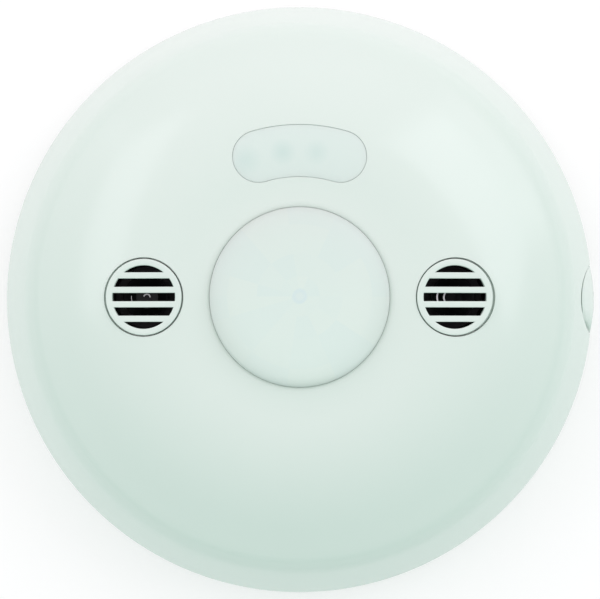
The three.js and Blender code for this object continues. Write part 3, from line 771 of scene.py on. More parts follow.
def grid_points(holes, margin):
    """Points over the cover's top between its holes, on rings round the axis."""
    blocked = [np.array(inset(hole.outline, -hole.rounded)) for hole in holes]
    outlines = [inset(hole.outline, -(hole.rounded + margin)) for hole in holes]
    points = []
    radius = LENS_HOLE_RADIUS + holes[0].rounded + GRID_SPACING * 0.7
    while radius < INNER_ZONE_RADIUS - GRID_SPACING * 0.4:
        count = round(TAU * radius / GRID_SPACING)
        points += circle(radius, count, start=radius)
        radius += GRID_SPACING
    flat = np.array(points)
    keep = np.ones(len(flat), bool)
    for outline in outlines:
        keep &= ~inside_loop(flat, outline)
    for loop in blocked:
        gaps = np.linalg.norm(flat[:, None] - loop[None], axis=2).min(1)
        keep &= gaps > margin
    return [tuple(point) for point in flat[keep]]


def build_cover():
    """The cover's shell in one mesh: its skirt in columns, the rims of its holes, and its filled top."""
    shape = Shape()
    normals = {}
    turns = notch_columns()
    columns = smoothed_wall([skirt_column(turn) for turn in turns])
    holes = cover_holes()

    def along(turn, radius, height):
        return (radius * math.cos(turn), radius * math.sin(turn), height)

    edge_height = cover_height(INNER_ZONE_RADIUS)
    top_ring = shape.add([along(turn, INNER_ZONE_RADIUS, edge_height) for turn in turns])
    for name in top_ring:
        normals[name] = surface_normal(*shape.vertices[name][:2])
    rings = [top_ring]
    for row in range(len(columns[0])):
        rings.append(shape.add([along(turn, *columns[i][row]) for i, turn in enumerate(turns)]))
    for row in range(1, 6):
        for name in rings[row]:
            normals[name] = surface_normal(*shape.vertices[name][:2])
    for upper, lower in zip(rings, rings[1:]):
        shape.strip(lower, upper)
    under_ring = rings[-1]

    top_loops, under_loops = [], []
    for hole in holes:
        ring, previous = None, None
        for step in range(6):
            turn = step / 5 * math.pi / 2
            distance = hole.rounded * (1 - math.sin(turn))
            drop = hole.fall * (1 - math.cos(turn))
            loop = inset(hole.outline, -distance)
            facing = np.array(inset(hole.outline, 1.0)) - np.array(hole.outline)
            ring = shape.add([(x, y, cover_height(math.hypot(x, y)) - drop) for x, y in loop])
            for name, (inward_x, inward_y) in zip(ring, facing):
                inward = Vector((inward_x, inward_y, 0)).normalized()
                up = surface_normal(*shape.vertices[name][:2])
                across, down = hole.fall * math.sin(turn), hole.rounded * math.cos(turn)
                normals[name] = (up * down + inward * across).normalized()
            if previous is None:
                top_loops.append((ring, loop))
            else:
                shape.strip(previous, ring)
            previous = ring
        distance = 0.0
        for distance, depth in hole.steps:
            loop = inset(hole.outline, distance)
            ring = shape.add([(x, y, cover_height(math.hypot(x, y)) - depth) for x, y in loop])
            shape.strip(previous, ring)
            previous = ring
        loop = inset(hole.outline, distance)
        ring = shape.add([(x, y, cover_height(math.hypot(x, y)) - COVER_WALL) for x, y in loop])
        shape.strip(previous, ring)
        under_loops.append((ring, loop))

    extra = grid_points(holes, 0.9)
    outer = [shape.vertices[name][:2] for name in top_ring]
    inner = [shape.add([(x, y, cover_height(math.hypot(x, y)) - depth) for x, y in extra])
             for depth in (0.0, COVER_WALL)]
    for name in inner[0]:
        normals[name] = surface_normal(*shape.vertices[name][:2])
    sheets = ((top_ring, top_loops, inner[0], True), (under_ring, under_loops, inner[1], False))
    for ring, loops, middle, up in sheets:
        names = list(ring) + [name for loop_ring, _ in loops for name in loop_ring] + list(middle)
        for a, b, c in fill(outer, [loop for _, loop in loops], extra):
            face = (names[a], names[b], names[c])
            shape.faces.append(face if up else face[::-1])
    vertex_normals = [tuple(normals.get(name, (0, 0, 0))) for name in range(len(shape.vertices))]
    return piece("cover_shell", shape, MATERIALS["cover_plastic"], "cover",
                 ["front_cover"], 40.0, vertex_normals)


# ---------------------------------------------------------------- lens and window

LENS_FLATNESS = 2.1
LENS_EDGE_ROUNDNESS = 0.55


def lens_height(radius):
    """Height of the lens dome's outside above its rim: a flattened dome with a steep edge."""
    return LENS_RISE * (1 - min(1.0, radius / LENS_RADIUS) ** LENS_FLATNESS) ** LENS_EDGE_ROUNDNESS


def build_lens():
    """A milky dome with fine grooves inside it and a flange under the cover."""
    rim = PLATEAU - 0.4
    wall, groove, groove_zone = 0.9, 0.1, 14.0
    steps = [LENS_RADIUS * math.sin(math.pi / 2 * step / 72) for step in range(72)]
    inner_scale = (LENS_RADIUS - wall) / LENS_RADIUS
    profile = []
    for index, radius in enumerate(steps):
        ridge = groove * (index % 2) if radius < groove_zone else 0.0
        profile.append((radius * inner_scale, rim + lens_height(radius) - wall - ridge))
    profile.append((LENS_RADIUS - wall, LENS.bottom))
    flange_top = LENS.bottom + 0.7
    profile += [(LENS.radius, LENS.bottom), (LENS.radius, flange_top), (LENS_RADIUS, flange_top)]
    profile += [(LENS_RADIUS, rim)]
    profile += [(radius, rim + lens_height(radius)) for radius in reversed(steps)]
    return piece("lens_dome", turned(profile, 144), MATERIALS["lens_plastic"], "cover",
                 ["fresnel_lens"], 50.0)


def build_window():
    """The pane follows the cover's top, a little below it, over a flange that hides its edges."""
    shape = Shape()
    recess, edge = 0.06, 0.08
    flange_depth = COVER_WALL + 0.2
    pane = band(WINDOW_ARC_RADIUS, WINDOW_HALF_WIDTH - 0.04, WINDOW_HALF_SWEEP, 0.5)
    flange = inset(pane, -0.93)
    levels = [(flange, 0.0, flange_depth + 0.8), (flange, 0.0, flange_depth), (pane, 0.0, flange_depth)]
    for step in range(5):
        turn = step / 4 * math.pi / 2
        levels.append((pane, edge * (1 - math.cos(turn)), recess + edge * (1 - math.sin(turn))))
    rings = []
    for outline, distance, depth in levels:
        loop = inset(outline, distance)
        rings.append(shape.add([(x, y, cover_height(math.hypot(x, y)) - depth) for x, y in loop]))
    for lower, upper in zip(rings, rings[1:]):
        shape.strip(lower, upper)
    for ring, up, depth in ((rings[0], False, levels[0][2]), (rings[-1], True, recess)):
        outer = [shape.vertices[name][:2] for name in ring]
        extra = [point for radius in range(24, 33) for point in circle(radius, round(TAU * radius))]
        flat = np.array(extra)
        extra = [tuple(point) for point in flat[inside_loop(flat, inset(outer, 0.5))]]
        names = list(ring) + shape.add([(x, y, cover_height(math.hypot(x, y)) - depth) for x, y in extra])
        for a, b, c in fill(outer, [], extra):
            face = (names[a], names[b], names[c])
            shape.faces.append(face if up else face[::-1])
    return piece("window_pane", shape, MATERIALS["window_plastic"], "cover",
                 ["indicator_window"], 40.0)


# ---------------------------------------------------------------- grille caps and transducers

SLOT_CIRCLE_RADIUS = 6.03
SLOT_HEIGHT = 1.58
SLOT_PITCH = 2.74
SLOT_COUNT = 5


def slot_outline(centre):
    """One slot of the grille: a flat band cut off by the slot circle, anticlockwise."""
    def turn_at(height):
        return math.asin(min(max(height / SLOT_CIRCLE_RADIUS, -1), 1))

    low, high = turn_at(centre - SLOT_HEIGHT / 2), turn_at(centre + SLOT_HEIGHT / 2)
    right = arc(0, 0, SLOT_CIRCLE_RADIUS, low, high, 10)
    left = arc(0, 0, SLOT_CIRCLE_RADIUS, math.pi - high, math.pi - low, 10)
    points = right + left
    if math.dist(points[0], points[-1]) < 1e-6:
        points = points[:-1]
    if math.dist(right[-1], left[0]) < 1e-6:
        points.remove(left[0])
    return points


def cap_frame(side):
    """The tilted frame of a transducer, whose origin is the middle of its cap's face."""
    reach = side * CAP_REACH + CAP_SHIFTS[side]
    origin = Vector((reach, 0, cover_height(CAP_REACH) + 0.05))
    return Matrix.Translation(origin) @ Matrix.Rotation(side * CAP_TILT, 4, "Y")


def cap_shape():
    """A cap: its slotted face and the tube below it."""
    slots = [slot_outline((row - (SLOT_COUNT - 1) / 2) * SLOT_PITCH) for row in range(SLOT_COUNT)]
    thickness, edge, depth, bore = 1.2, 0.16, 5.0, 6.65
    levels = [(0.0, -thickness)] + rounding(-thickness + 0.001, 0.0, edge, 3)[4:]
    shape = slab(circle(CAP_RADIUS, 120), slots, levels)
    skirt = [(bore, -thickness), (bore, -depth), (CAP_RADIUS, -depth), (CAP_RADIUS, -thickness)]
    rings = [shape.add([(x, y, height) for x, y in circle(radius, 120)]) for radius, height in skirt]
    for lower, upper in zip(rings, rings[1:]):
        shape.strip(lower, upper)
    return shape


# ---------------------------------------------------------------- back housing

FLOOR_RADIUS = 54.5
FLOOR_TOP = 2.5
WALL_RADIUS = 52.0
WALL_TOP = 9.0
CABLE_HOLE_RADIUS = 11.0
SCREW_NEAR, SCREW_FAR = 34.925, 44.45
SCREW_SLOT_HALF_WIDTH = 2.4
HOOK_ANGLES = [math.radians(angle) for angle in (55, 125, 235, 305)]
NOTCH_HALF_WIDTH = 7.1


def screw_slot(half_width, far, turn):
    """A slot along Y from the nearer screw spacing outwards, on one side or the other."""
    points = arc(0, far, half_width, 0, math.pi, 16) + arc(0, SCREW_NEAR, half_width, math.pi, TAU, 16)
    return [(x * turn, y * turn) for x, y in points]


def build_housing_floor():
    """The back plate, with its cable hole, screw slots, shallow moat and four ejector marks."""
    holes = [circle(CABLE_HOLE_RADIUS, 120)]
    holes += [screw_slot(SCREW_SLOT_HALF_WIDTH, SCREW_FAR, turn) for turn in (1, -1)]
    floor = slab(circle(FLOOR_RADIUS, 192), holes, rounding(0, FLOOR_TOP, 0.25))
    moat = ring_shape(26.5, 27.3, -1, 0.35, 0.0, 120)
    mark_places = [circle(47.5, 1, start=math.radians(angle))[0] for angle in (20, 160, 200, 340)]
    marks = [plain_pin(2.2, -1, 0.15, x, y) for x, y in mark_places]
    made_of("cover_plastic", "housing_floor", carved(floor, [moat, *marks]), "back_housing")


def build_housing_wall():
    """The wall that the cover's hooks snap into, the collar round the cable hole, and a low rib."""
    wall = ring_shape(WALL_RADIUS - 1.8, WALL_RADIUS, FLOOR_TOP, WALL_TOP, 0.3, 192)
    grooves = [moved(plain_box(1.6, 11, 3.6, 8.0, WALL_RADIUS), turn=angle) for angle in HOOK_ANGLES]
    made_of("cover_plastic", "housing_wall", carved(wall, grooves))
    made_of("cover_plastic", "housing_collar", ring_shape(13.9, 15.5, FLOOR_TOP, 4.5, 0.25, 120))
    made_of("cover_plastic", "housing_rib", ring_shape(30.6, 31.6, FLOOR_TOP, 3.6, 0.2, 144))


def build_standoffs():
    """The four posts that the board stands on, each with a web towards the wall."""
    for number in range(1, 5):
        place = Place(f"board_screw_{number}")
        post = ring_shape(1.45, 3.6, FLOOR_TOP, BOARD.bottom - 0.2, 0.25, 48, place.x, place.y)
        outward = math.atan2(place.y, place.x)
        web = plain_box(6.4, 1.2, FLOOR_TOP, 8.6, math.hypot(place.x, place.y) + 5.6)
        web = carved(moved(web, turn=outward), edge=0.15)
        made_of("cover_plastic", f"standoff_{number}", post)
        made_of("cover_plastic", f"standoff_web_{number}", web)


def skirt_height(radius):
    """Height at which the cover's skirt has that radius."""
    spread = COVER_RADIUS - CREASE_RADIUS - SKIRT_BULGE
    inside = spread ** 2 + 4 * SKIRT_BULGE * (COVER_RADIUS - radius)
    rise = (math.sqrt(max(inside, 0.0)) - spread) / (2 * SKIRT_BULGE)
    return COVER_FOOT + (CREASE_HEIGHT - COVER_FOOT) * rise


def nose_section(y):
    """(x, z) points round a slice of the nose: from the notch's wall over the top, then down and under."""
    ledge, proud, fillet = 0.85, 0.25, 0.7
    open_end, full_from = -6.2, -1.8
    across = 1 - (y / NOTCH_HALF_WIDTH) ** 2
    bulge = proud * across - 0.25 * (1 - across)
    inner = BITE_DEPTH_RADIUS + BITE_RADIUS - math.sqrt((BITE_RADIUS - 0.05) ** 2 - y * y)
    outer = math.sqrt((COVER_RADIUS + bulge) ** 2 - y * y)
    inner = min(inner, outer - 0.05)
    share = min(max((y - open_end) / (full_from - open_end), 0.0), 1.0)
    standing = share * share * (3 - 2 * share)
    points = []
    steps = 20
    for step in range(steps + 1):
        x = inner + (outer - inner) * (step / steps) ** 1.3
        skin = max(skirt_height(math.hypot(x, y) - bulge) - 0.1, ledge)
        from_edge = max(1 - (x - inner) / fillet, 0.0)
        top = ledge + (skin - ledge) * standing
        points.append((x, max(top - fillet * (1 - math.sqrt(1 - from_edge ** 2)), ledge * 0.9)))
    foot = min(inner, FLOOR_RADIUS - 1.5)
    floor_edge = math.sqrt(FLOOR_RADIUS ** 2 - y * y)
    points += [(outer, 0.1), (outer - 0.1, 0.0), (floor_edge, 0.0), (foot, 0.3), (foot, 0.6), (inner, 0.7)]
    return points


def build_nose():
    """The nose fills the pry notch. It stands tall at one end and falls away at the other."""
    shape = Shape()
    steps = 48
    rows = []
    for step in range(steps + 1):
        y = NOTCH_HALF_WIDTH * (2 * step / steps - 1)
        rows.append(shape.add([(x, y, z) for x, z in nose_section(y)]))
    for near, far in zip(rows, rows[1:]):
        shape.strip(near, far)
    shape.faces.append(tuple(rows[0][::-1]))
    shape.faces.append(tuple(rows[-1]))
    shape.faces = [face[::-1] for face in shape.faces]
    made_of("cover_plastic", "pry_nose", shape, sharp=40)


def build_grommet():
    """The rubber ring in the cable hole, with a flange on the inside."""
    place = Place("lead_grommet")
    hole, neck, flange = 8.0, CABLE_HOLE_RADIUS - 0.3, place.radius
    seat = FLOOR_TOP + 0.2
    profile = [(hole, place.bottom), (neck, place.bottom), (neck, seat), (flange, seat)]
    profile += [(flange, place.top), (hole + 1.2, place.top), (hole, place.top - 1.0), (hole, place.bottom)]
    made_of("rubber", "grommet", turned(eased(profile, 0.35, 4), 120), "lead_grommet")


# ---------------------------------------------------------------- board

def build_board():
    """The round board, cut away over the screw slots, with a metal land round each screw."""
    edge, screw_hole = 0.05, 1.7
    screws = [Place(f"board_screw_{number}") for number in range(1, 5)]
    holes = [circle(screw_hole, 32, place.x, place.y) for place in screws]
    plate = slab(circle(BOARD.radius, 192), holes, rounding(BOARD.bottom, BOARD.top, edge, 1))
    notches = [slab(screw_slot(4.5, BOARD.radius + 8, turn), [], [(0, 10), (0, 20)]) for turn in (1, -1)]
    made_of("board", "circuit_board", carved(plate, notches), "main_board")
    for number, place in enumerate(screws, 1):
        land = ring_shape(1.75, 3.4, BOARD.top, BOARD.top + 0.04, 0.0, 48, place.x, place.y)
        made_of("steel", f"screw_land_{number}", land)


def build_screws():
    """Four pan-head screws, each with its cross recess turned at random."""
    shank, head_radius, half_head, recess, groove = 1.4, 2.75, 0.9, 3.4, 0.6
    for number in range(1, 5):
        place = Place(f"board_screw_{number}")
        seat = place.top - 2 * half_head
        profile = [(0, place.bottom), (0.8, place.bottom), (shank, place.bottom + 1.0), (shank, seat)]
        profile.append((head_radius, seat))
        for step in range(8):
            rise = step / 8 * math.pi / 2
            height = seat + half_head + half_head * math.sin(rise)
            profile.append((head_radius * math.cos(rise) ** 0.5, height))
        profile.append((0, place.top))
        head = turned(profile, 48, place.x, place.y)
        turn = random.Random(number).uniform(0, math.pi / 2)
        cross = []
        for width in (groove, recess):
            arm = plain_box(width, recess - width + groove, place.top - 1.0, place.top + 1)
            cross.append(moved(arm, place.x, place.y, turn=turn))
        made_of("steel", f"screw_{number}", carved(head, cross, edge=0.06), f"board_screw_{number}")


def clear_of_parts(x, y, reach, places):
    """Whether a small chip keeps clear of the larger parts, the screw slots and the board's edge."""
    if math.hypot(x, y) + reach > BOARD.radius - 1.5:
        return False
    if abs(x) < 5.5 + reach and abs(y) > SCREW_NEAR - 5.5 - reach:
        return False
    return all(x + reach < low.x or x - reach > high.x or y + reach < low.y or y - reach > high.y
               for low, high in places)


def part_footprints(margin, front=True):
    """The low and high corners of the space that each larger part takes on one face of the board."""
    gap = 0.2
    places = []
    for name in frame["nodes"]:
        place = Place(name)
        if front:
            touches = abs(place.bottom - (BOARD.top + gap)) < 0.3
        else:
            touches = abs(place.top - (BOARD.bottom - gap)) < 0.1
        if touches or name.startswith("board_screw") or name.endswith("_boot"):
            spread = Vector((margin, margin, 0))
            places.append((place.low - spread, place.high + spread))
    return places


def small_chip(length, width, height, level, sign):
    """A resistor or ceramic capacitor on one face of the board: its body and its two metal ends."""
    low, high = sorted((level + sign * 0.02, level + sign * (0.02 + height)))
    body = block(length - 0.5, width, low, high, edge=0.06, corner=0.08)
    ends = Shape()
    low, high = sorted((level, level + sign * (height + 0.04)))
    for end in (-1, 1):
        ends.absorb(block(0.3, width + 0.06, low, high, end * (length / 2 - 0.1), 0, 0.04, 0.08))
    return body, ends


def build_small_chips():
    """Small chips and vias, scattered over the free parts of the board's two faces."""
    rng = random.Random(7)
    bodies = {"black_plastic": Shape(), "white_plastic": Shape(), "steel": Shape()}
    grid, reach, chip_tries, via_tries = 1.27, 45, 420, 260
    for level, sign in ((BOARD.top, 1), (BOARD.bottom, -1)):
        places = part_footprints(0.6, front=sign > 0)
        for _ in range(chip_tries):
            x, y = (round(rng.uniform(-reach, reach) / grid) * grid for _ in range(2))
            length, width, height = rng.choice(((2.0, 1.25, 0.5), (1.6, 0.8, 0.45), (3.2, 1.6, 0.6)))
            turn = rng.choice((0, math.pi / 2))
            slot = rng.choice(("black_plastic", "black_plastic", "white_plastic"))
            if not clear_of_parts(x, y, length / 2 + 0.5, places):
                continue
            around = Vector((length / 2 + 0.6, length / 2 + 0.6, 0))
            places.append((Vector((x, y, 0)) - around, Vector((x, y, 0)) + around))
            body, ends = small_chip(length, width, height, level, sign)
            bodies[slot].absorb(moved(body, x, y, turn=turn))
            bodies["steel"].absorb(moved(ends, x, y, turn=turn))
        for _ in range(via_tries):
            x, y = rng.uniform(-reach, reach), rng.uniform(-reach, reach)
            low, high = sorted((level, level + sign * 0.035))
            if clear_of_parts(x, y, 0.5, places):
                bodies["steel"].absorb(ring_shape(0.16, 0.38, low, high, 0.0, 12, x, y))
    for slot, shape in bodies.items():
        made_of(slot, f"small_chips_{slot}", shape)


def gull_wing(reach, knee):
    """One lead of a chip, from its side at the knee's height out and down to the board."""
    half_width, thickness, base = 0.14, 0.12, BOARD.top
    outline = [(reach - 0.1, knee), (reach + 0.35, knee), (reach + 0.5, base + thickness)]
    outline += [(reach + 1.0, base + thickness), (reach + 1.0, base), (reach + 0.38, base)]
    outline += [(reach + 0.24, knee - thickness), (reach - 0.1, knee - thickness)]
    lead = Shape()
    near = lead.add([(x, -half_width, z) for x, z in outline])
    far = lead.add([(x, half_width, z) for x, z in outline])
    lead.strip(far, near)
    lead.faces += [tuple(near), tuple(far[::-1])]
    lead.faces = [face[::-1] for face in lead.faces]
    return lead


def chip_leads(place, per_side, pitch, along_x, along_y):
    """Gull-wing leads down two or four sides of a chip."""
    leads = Shape()
    knee = (place.bottom + place.top) / 2
    ways = [(turn, size / 2) for enabled, turn, size in
            ((along_x, 0, place.size.x), (along_y, math.pi / 2, place.size.y)) if enabled]
    for half_turn in (0, math.pi):
        for row in range(per_side):
            offset = (row - (per_side - 1) / 2) * pitch
            for turn, reach in ways:
                placed = moved(moved(gull_wing(reach, knee), 0, offset), turn=turn + half_turn)
                leads.absorb(moved(placed, place.x, place.y))
    return leads


def build_chips():
    """The microcontroller with leads on four sides, and the amplifier with leads on two."""
    chips = (("microcontroller", 12, 0.7, True, True), ("amplifier_chip", 7, 1.1, True, False))
    corner = 1.1
    for name, count, pitch, along_x, along_y in chips:
        place = Place(name)
        dimple_x = place.x - place.size.x / 2 + corner
        dimple_y = place.y + place.size.y / 2 - corner
        dimple = plain_pin(0.45, place.top - 0.12, place.top + 1, dimple_x, dimple_y, 24)
        case = plain_box(place.size.x, place.size.y, place.bottom, place.top, place.x, place.y)
        made_of("black_plastic", f"{name}_body", carved(case, [dimple], edge=0.12), name)
        made_of("steel", f"{name}_leads", chip_leads(place, count, pitch, along_x, along_y))


def build_capacitor(name, upright):
    """A can capacitor with a crimp near its foot and a scored top, on either face of the board."""
    place = Place(name)
    foot, head = (place.bottom, place.top) if upright else (place.top, place.bottom)
    sign = 1 if upright else -1
    radius, height, corner, dish = place.radius, place.size.z, 0.35, 0.12
    outline = [(0, 0.15), (radius - corner, 0.15), (radius, 0.5), (radius, 1.2)]
    outline += [(radius - 0.3, 1.5), (radius, 1.8), (radius, height - corner), (radius - corner, height)]
    outline += [(radius - 2 * corner, height - dish), (0, height - dish)]
    profile = [(r, foot + sign * h) for r, h in outline]
    can = turned(eased(profile if upright else profile[::-1], 0.15, 3), 64, place.x, place.y)
    low, high = sorted((head - sign * 0.3, head + sign * 1))
    scores = [moved(plain_box(0.35, radius * 1.3, low, high), place.x, place.y, turn=turn * math.pi / 3)
              for turn in range(3)]
    made_of("aluminium", f"{name}_can", carved(can, scores), name)
    low, high = sorted((foot, foot + sign * 0.15))
    foot_plate = block(radius * 1.9, radius * 1.9, low, high, place.x, place.y, 0.03)
    made_of("black_plastic", f"{name}_base", foot_plate)


def build_inductor():
    """A drum inductor: two discs with a coil of copper wire between them."""
    place = Place("inductor")
    radius, disc, core = place.radius, 0.9, 3.5
    for bottom, number in ((place.bottom, 1), (place.top - disc, 2)):
        plate = pin(radius, bottom, bottom + disc, place.x, place.y, 0.15, 64)
        made_of("black_plastic", f"inductor_disc_{number}", plate, "inductor")
    low, high, wire = place.bottom + disc, place.top - disc, 0.31
    profile = [(core - 1.5, low)]
    turns = round((high - low) / wire)
    for row in range(turns):
        for step in range(5):
            share = (row + step / 5) / turns
            reach = core + 0.28 + 0.14 * math.sin(math.pi * step / 5)
            profile.append((reach, low + (high - low) * share))
    profile += [(core - 1.5, high), (core - 1.5, low)]
    made_of("copper", "inductor_winding", turned(profile, 48, place.x, place.y))


def solder_joint(x, y, foot, tip, height):
    """A cone of solder on the board's top face, round the end of a leg from the other face."""
    shoulder = BOARD.top + height - 0.2
    profile = [(0, BOARD.top), (foot, BOARD.top), (tip, shoulder), (0, BOARD.top + height)]
    return turned(eased(profile, 0.2, 3), 20, x, y)


def build_relay():
    """The relay's case hangs under the board. The ends of its legs show on top as solder joints."""
    place = Place("relay")
    body = block(place.size.x, place.size.y, place.bottom, place.top, place.x, place.y, 0.35, 0.6)
    vent = plain_pin(0.7, place.bottom - 1, place.bottom + 0.25, place.x + 5.6, place.y + 3.4, 24)
    made_of("black_plastic", "relay_body", carved(body, [vent]), "relay")
    tails = Shape()
    for x, y in ((-6, -3.6), (-6, 3.6), (5.8, 0), (1.5, 3.6), (1.5, -3.6)):
        tails.absorb(solder_joint(place.x + x * 0.62, place.y + y, 1.0, 0.35, 1.1))
    made_of("steel", "relay_solder", tails)


def build_lead_socket():
    """A five-way socket under the board, whose mouth faces the cable hole."""
    place = Place("lead_socket")
    wall = 0.8
    body = block(place.size.x, place.size.y, place.bottom, place.top, place.x, place.y, 0.2, 0.3)
    width, depth, below = place.size.x - 2 * wall, place.size.y - 2 * wall, place.bottom - 1
    mouth = plain_box(width, depth, below, place.top - 1.4, place.x, place.y)
    key_y = place.y + place.size.y / 2
    keys = [plain_box(1.6, 2.4, below, place.top - 2.6, place.x + x, key_y) for x in (-4.2, 4.2)]
    made_of("white_plastic", "lead_socket_body", carved(body, [mouth, *keys], edge=0.08), "lead_socket")
    pins, tails = Shape(), Shape()
    for row in range(5):
        x = place.x + (row - 2) * 2.5
        pins.absorb(block(0.64, 0.64, place.bottom + 1.6, place.top - 1.3, x, place.y, 0.12, 0.1))
        tails.absorb(solder_joint(x, place.y, 0.85, 0.3, 1.0))
    made_of("steel", "lead_socket_pins", pins)
    made_of("steel", "lead_socket_solder", tails)


# ---------------------------------------------------------------- detector, lamps and light sensor

def build_detector():
    """The infrared detector: a metal can with a dark window, in a plastic holder with two lugs."""
    holder, can, glass = Place("pyro_holder"), Place("pyro_can"), Place("pyro_window")
    outer = holder.size.y / 2
    base = ring_shape(4.9, outer, holder.bottom, holder.top, 0.25, 72)
    lug_radius, lug_top = 1.7, holder.bottom + 1.4
    lugs = [pin(lug_radius, holder.bottom, lug_top, side * (holder.radius - lug_radius), 0, 0.15, 32)
            for side in (-1, 1)]
    made_of("white_plastic", "detector_holder", carved(base, joined=lugs), "pyro_holder")
    body, flange, rim = 4.1, can.radius, can.bottom + 0.5
    profile = [(0, can.bottom), (flange, can.bottom), (flange, rim)]
    profile += [(body, rim), (body, can.top), (0, can.top)]
    opening = plain_box(glass.size.x + 0.4, glass.size.y + 0.4, glass.bottom - 0.2, can.top + 1)
    cap = carved(turned(eased(profile, 0.35, 4), 72), [opening], edge=0.05)
    made_of("steel", "detector_can", cap, "pyro_can")
    pane = block(glass.size.x, glass.size.y, glass.bottom, glass.top, 0, 0, 0.05, 0.1)
    made_of("infrared_window", "detector_window", pane, "pyro_window")


def build_lamp(name):
    """An indicator lamp with a round head and a rim, on a stand that its two leads run through."""
    lamp, spacer = Place(name), Place(f"{name}_spacer")
    radius, rim_top = 1.5, lamp.bottom + 0.8
    profile = [(0, lamp.bottom), (lamp.radius, lamp.bottom), (lamp.radius, rim_top), (radius, rim_top)]
    straight = lamp.top - radius
    for step in range(10):
        rise = step / 10 * math.pi / 2
        profile.append((radius * math.cos(rise), straight + radius * math.sin(rise)))
    profile.append((0, lamp.top))
    made_of("lamp_plastic", f"{name}_lens", turned(profile, 48, lamp.x, lamp.y), name)
    tube = ring_shape(0.9, spacer.radius, spacer.bottom, spacer.top, 0.1, 48, spacer.x, spacer.y)
    made_of("black_plastic", f"{name}_stand", tube, f"{name}_spacer")
    leads = Shape()
    for offset in (-0.45, 0.45):
        leads.absorb(block(0.4, 0.4, BOARD.top, spacer.top, spacer.x + offset, spacer.y, 0.05, 0.1))
    made_of("steel", f"{name}_leads", leads)


def build_light_sensor():
    """The light sensor, on a stand."""
    cell, spacer = Place("light_sensor"), Place("light_sensor_spacer")
    disc = pin(cell.radius, cell.bottom, cell.top, cell.x, cell.y, 0.25, 64)
    made_of("sensor_face", "light_cell", disc, "light_sensor")
    tube = ring_shape(1.1, spacer.radius, spacer.bottom, spacer.top, 0.1, 48, spacer.x, spacer.y)
    made_of("black_plastic", "light_cell_stand", tube, "light_sensor_spacer")


# ---------------------------------------------------------------- settings

def build_setting_switch():
    """The eight-way setting switch: its body with a well for each slider, and its legs."""
    place = Place("setting_switch_body")
    sliders = [Place(f"setting_slider_{number}") for number in range(1, 9)]
    wells = []
    for number, slider in enumerate(sliders, 1):
        wells.append(plain_box(1.7, 3.9, place.top - 1.3, place.top + 1, slider.x, place.y))
        size = slider.size
        grip = block(size.x, size.y, slider.bottom, slider.top, slider.x, slider.y, 0.12, 0.12)
        made_of("white_plastic", f"slider_{number}", grip, f"setting_slider_{number}", f"slider_{number}")
    body = block(place.size.x, place.size.y, place.bottom, place.top, place.x, place.y, 0.15, 0.2)
    made_of("red_plastic", "switch_body", carved(body, wells, edge=0.08), "setting_switch_body")
    legs = Shape()
    for slider in sliders:
        for side in (-1, 1):
            y = place.y + side * (place.size.y / 2 + 0.4)
            legs.absorb(block(0.6, 1.1, BOARD.top, BOARD.top + 0.35, slider.x, y, 0.08, 0.1))
    made_of("steel", "switch_legs", legs)


KNOB_SLOTS = {
    "infrared_range": "red_plastic",
    "ultrasonic_range": "green_plastic",
    "time_delay": "black_plastic",
    "light_level": "blue_plastic",
}


def build_trimmers():
    """The four setting trimmers: a case with a well, and a grooved knob with a slot and a pointer."""
    for name, slot in KNOB_SLOTS.items():
        body, knob = Place(f"{name}_trimmer"), Place(f"{name}_knob")
        well = plain_pin(knob.radius + 0.3, body.top - 0.8, body.top + 1, body.x, body.y)
        case = block(body.size.x, body.size.y, body.bottom, body.top, body.x, body.y, 0.2, 0.7)
        made_of("white_plastic", f"{name}_case", carved(case, [well], edge=0.08), f"{name}_trimmer")
        grips = []
        for step in range(18):
            x, y = circle(knob.radius + 0.08, 1, knob.x, knob.y, TAU * step / 18)[0]
            grips.append(plain_pin(0.28, knob.bottom - 1, knob.top + 1, x, y, 12))
        profile = [(0, knob.bottom), (knob.radius, knob.bottom), (knob.radius, knob.top), (0, knob.top)]
        head = turned(eased(profile, 0.35, 4), 64, knob.x, knob.y)
        blade = plain_box(0.8, 2 * knob.radius - 1.4, knob.top - 1.1, knob.top + 1, knob.x, knob.y)
        arrow = plain_box(2, 0.8, knob.top - 1.1, knob.top + 1, knob.x, knob.y + knob.radius - 1.3)
        dial = carved(head, [blade, arrow, *grips], edge=0.05)
        made_of(slot, f"{name}_dial", dial, f"{name}_knob", f"{name}_dial")
        pads = Shape()
        for x, y in ((-2.4, -4.1), (2.4, -4.1), (0, 4.1)):
            pads.absorb(block(1.2, 0.9, BOARD.top, BOARD.top + 0.25, body.x + x, body.y + y, 0.05))
        made_of("steel", f"{name}_pads", pads)


def build_learn_button():
    """The learn button: a riveted metal case, and the plunger that stands in its well."""
    body, plunger = Place("learn_button_body"), Place("learn_button_plunger")
    case = block(body.size.x, body.size.y, body.bottom, body.top, body.x, body.y, 0.2, 0.4)
    well = plain_pin(plunger.radius + 0.35, body.top - 1.2, body.top + 1, body.x, body.y)
    rivets = [pin(0.45, body.top - 0.1, body.top + 0.15, body.x + x * 2.2, body.y + y * 2.2, 0.08, 16)
              for x in (-1, 1) for y in (-1, 1)]
    made_of("steel", "button_case", carved(case, [well], rivets, edge=0.05), "learn_button_body")
    stem = pin(plunger.radius, plunger.bottom, plunger.top, plunger.x, plunger.y, 0.25, 48)
    made_of("black_plastic", "button_plunger", stem, "learn_button_plunger", "learn_button")


# ---------------------------------------------------------------- inside the cover

RETAINER_BORE = 16.4
STAKE_CIRCLE_RADIUS = 21.5
STAKE_HOLE_RADIUS = 1.3


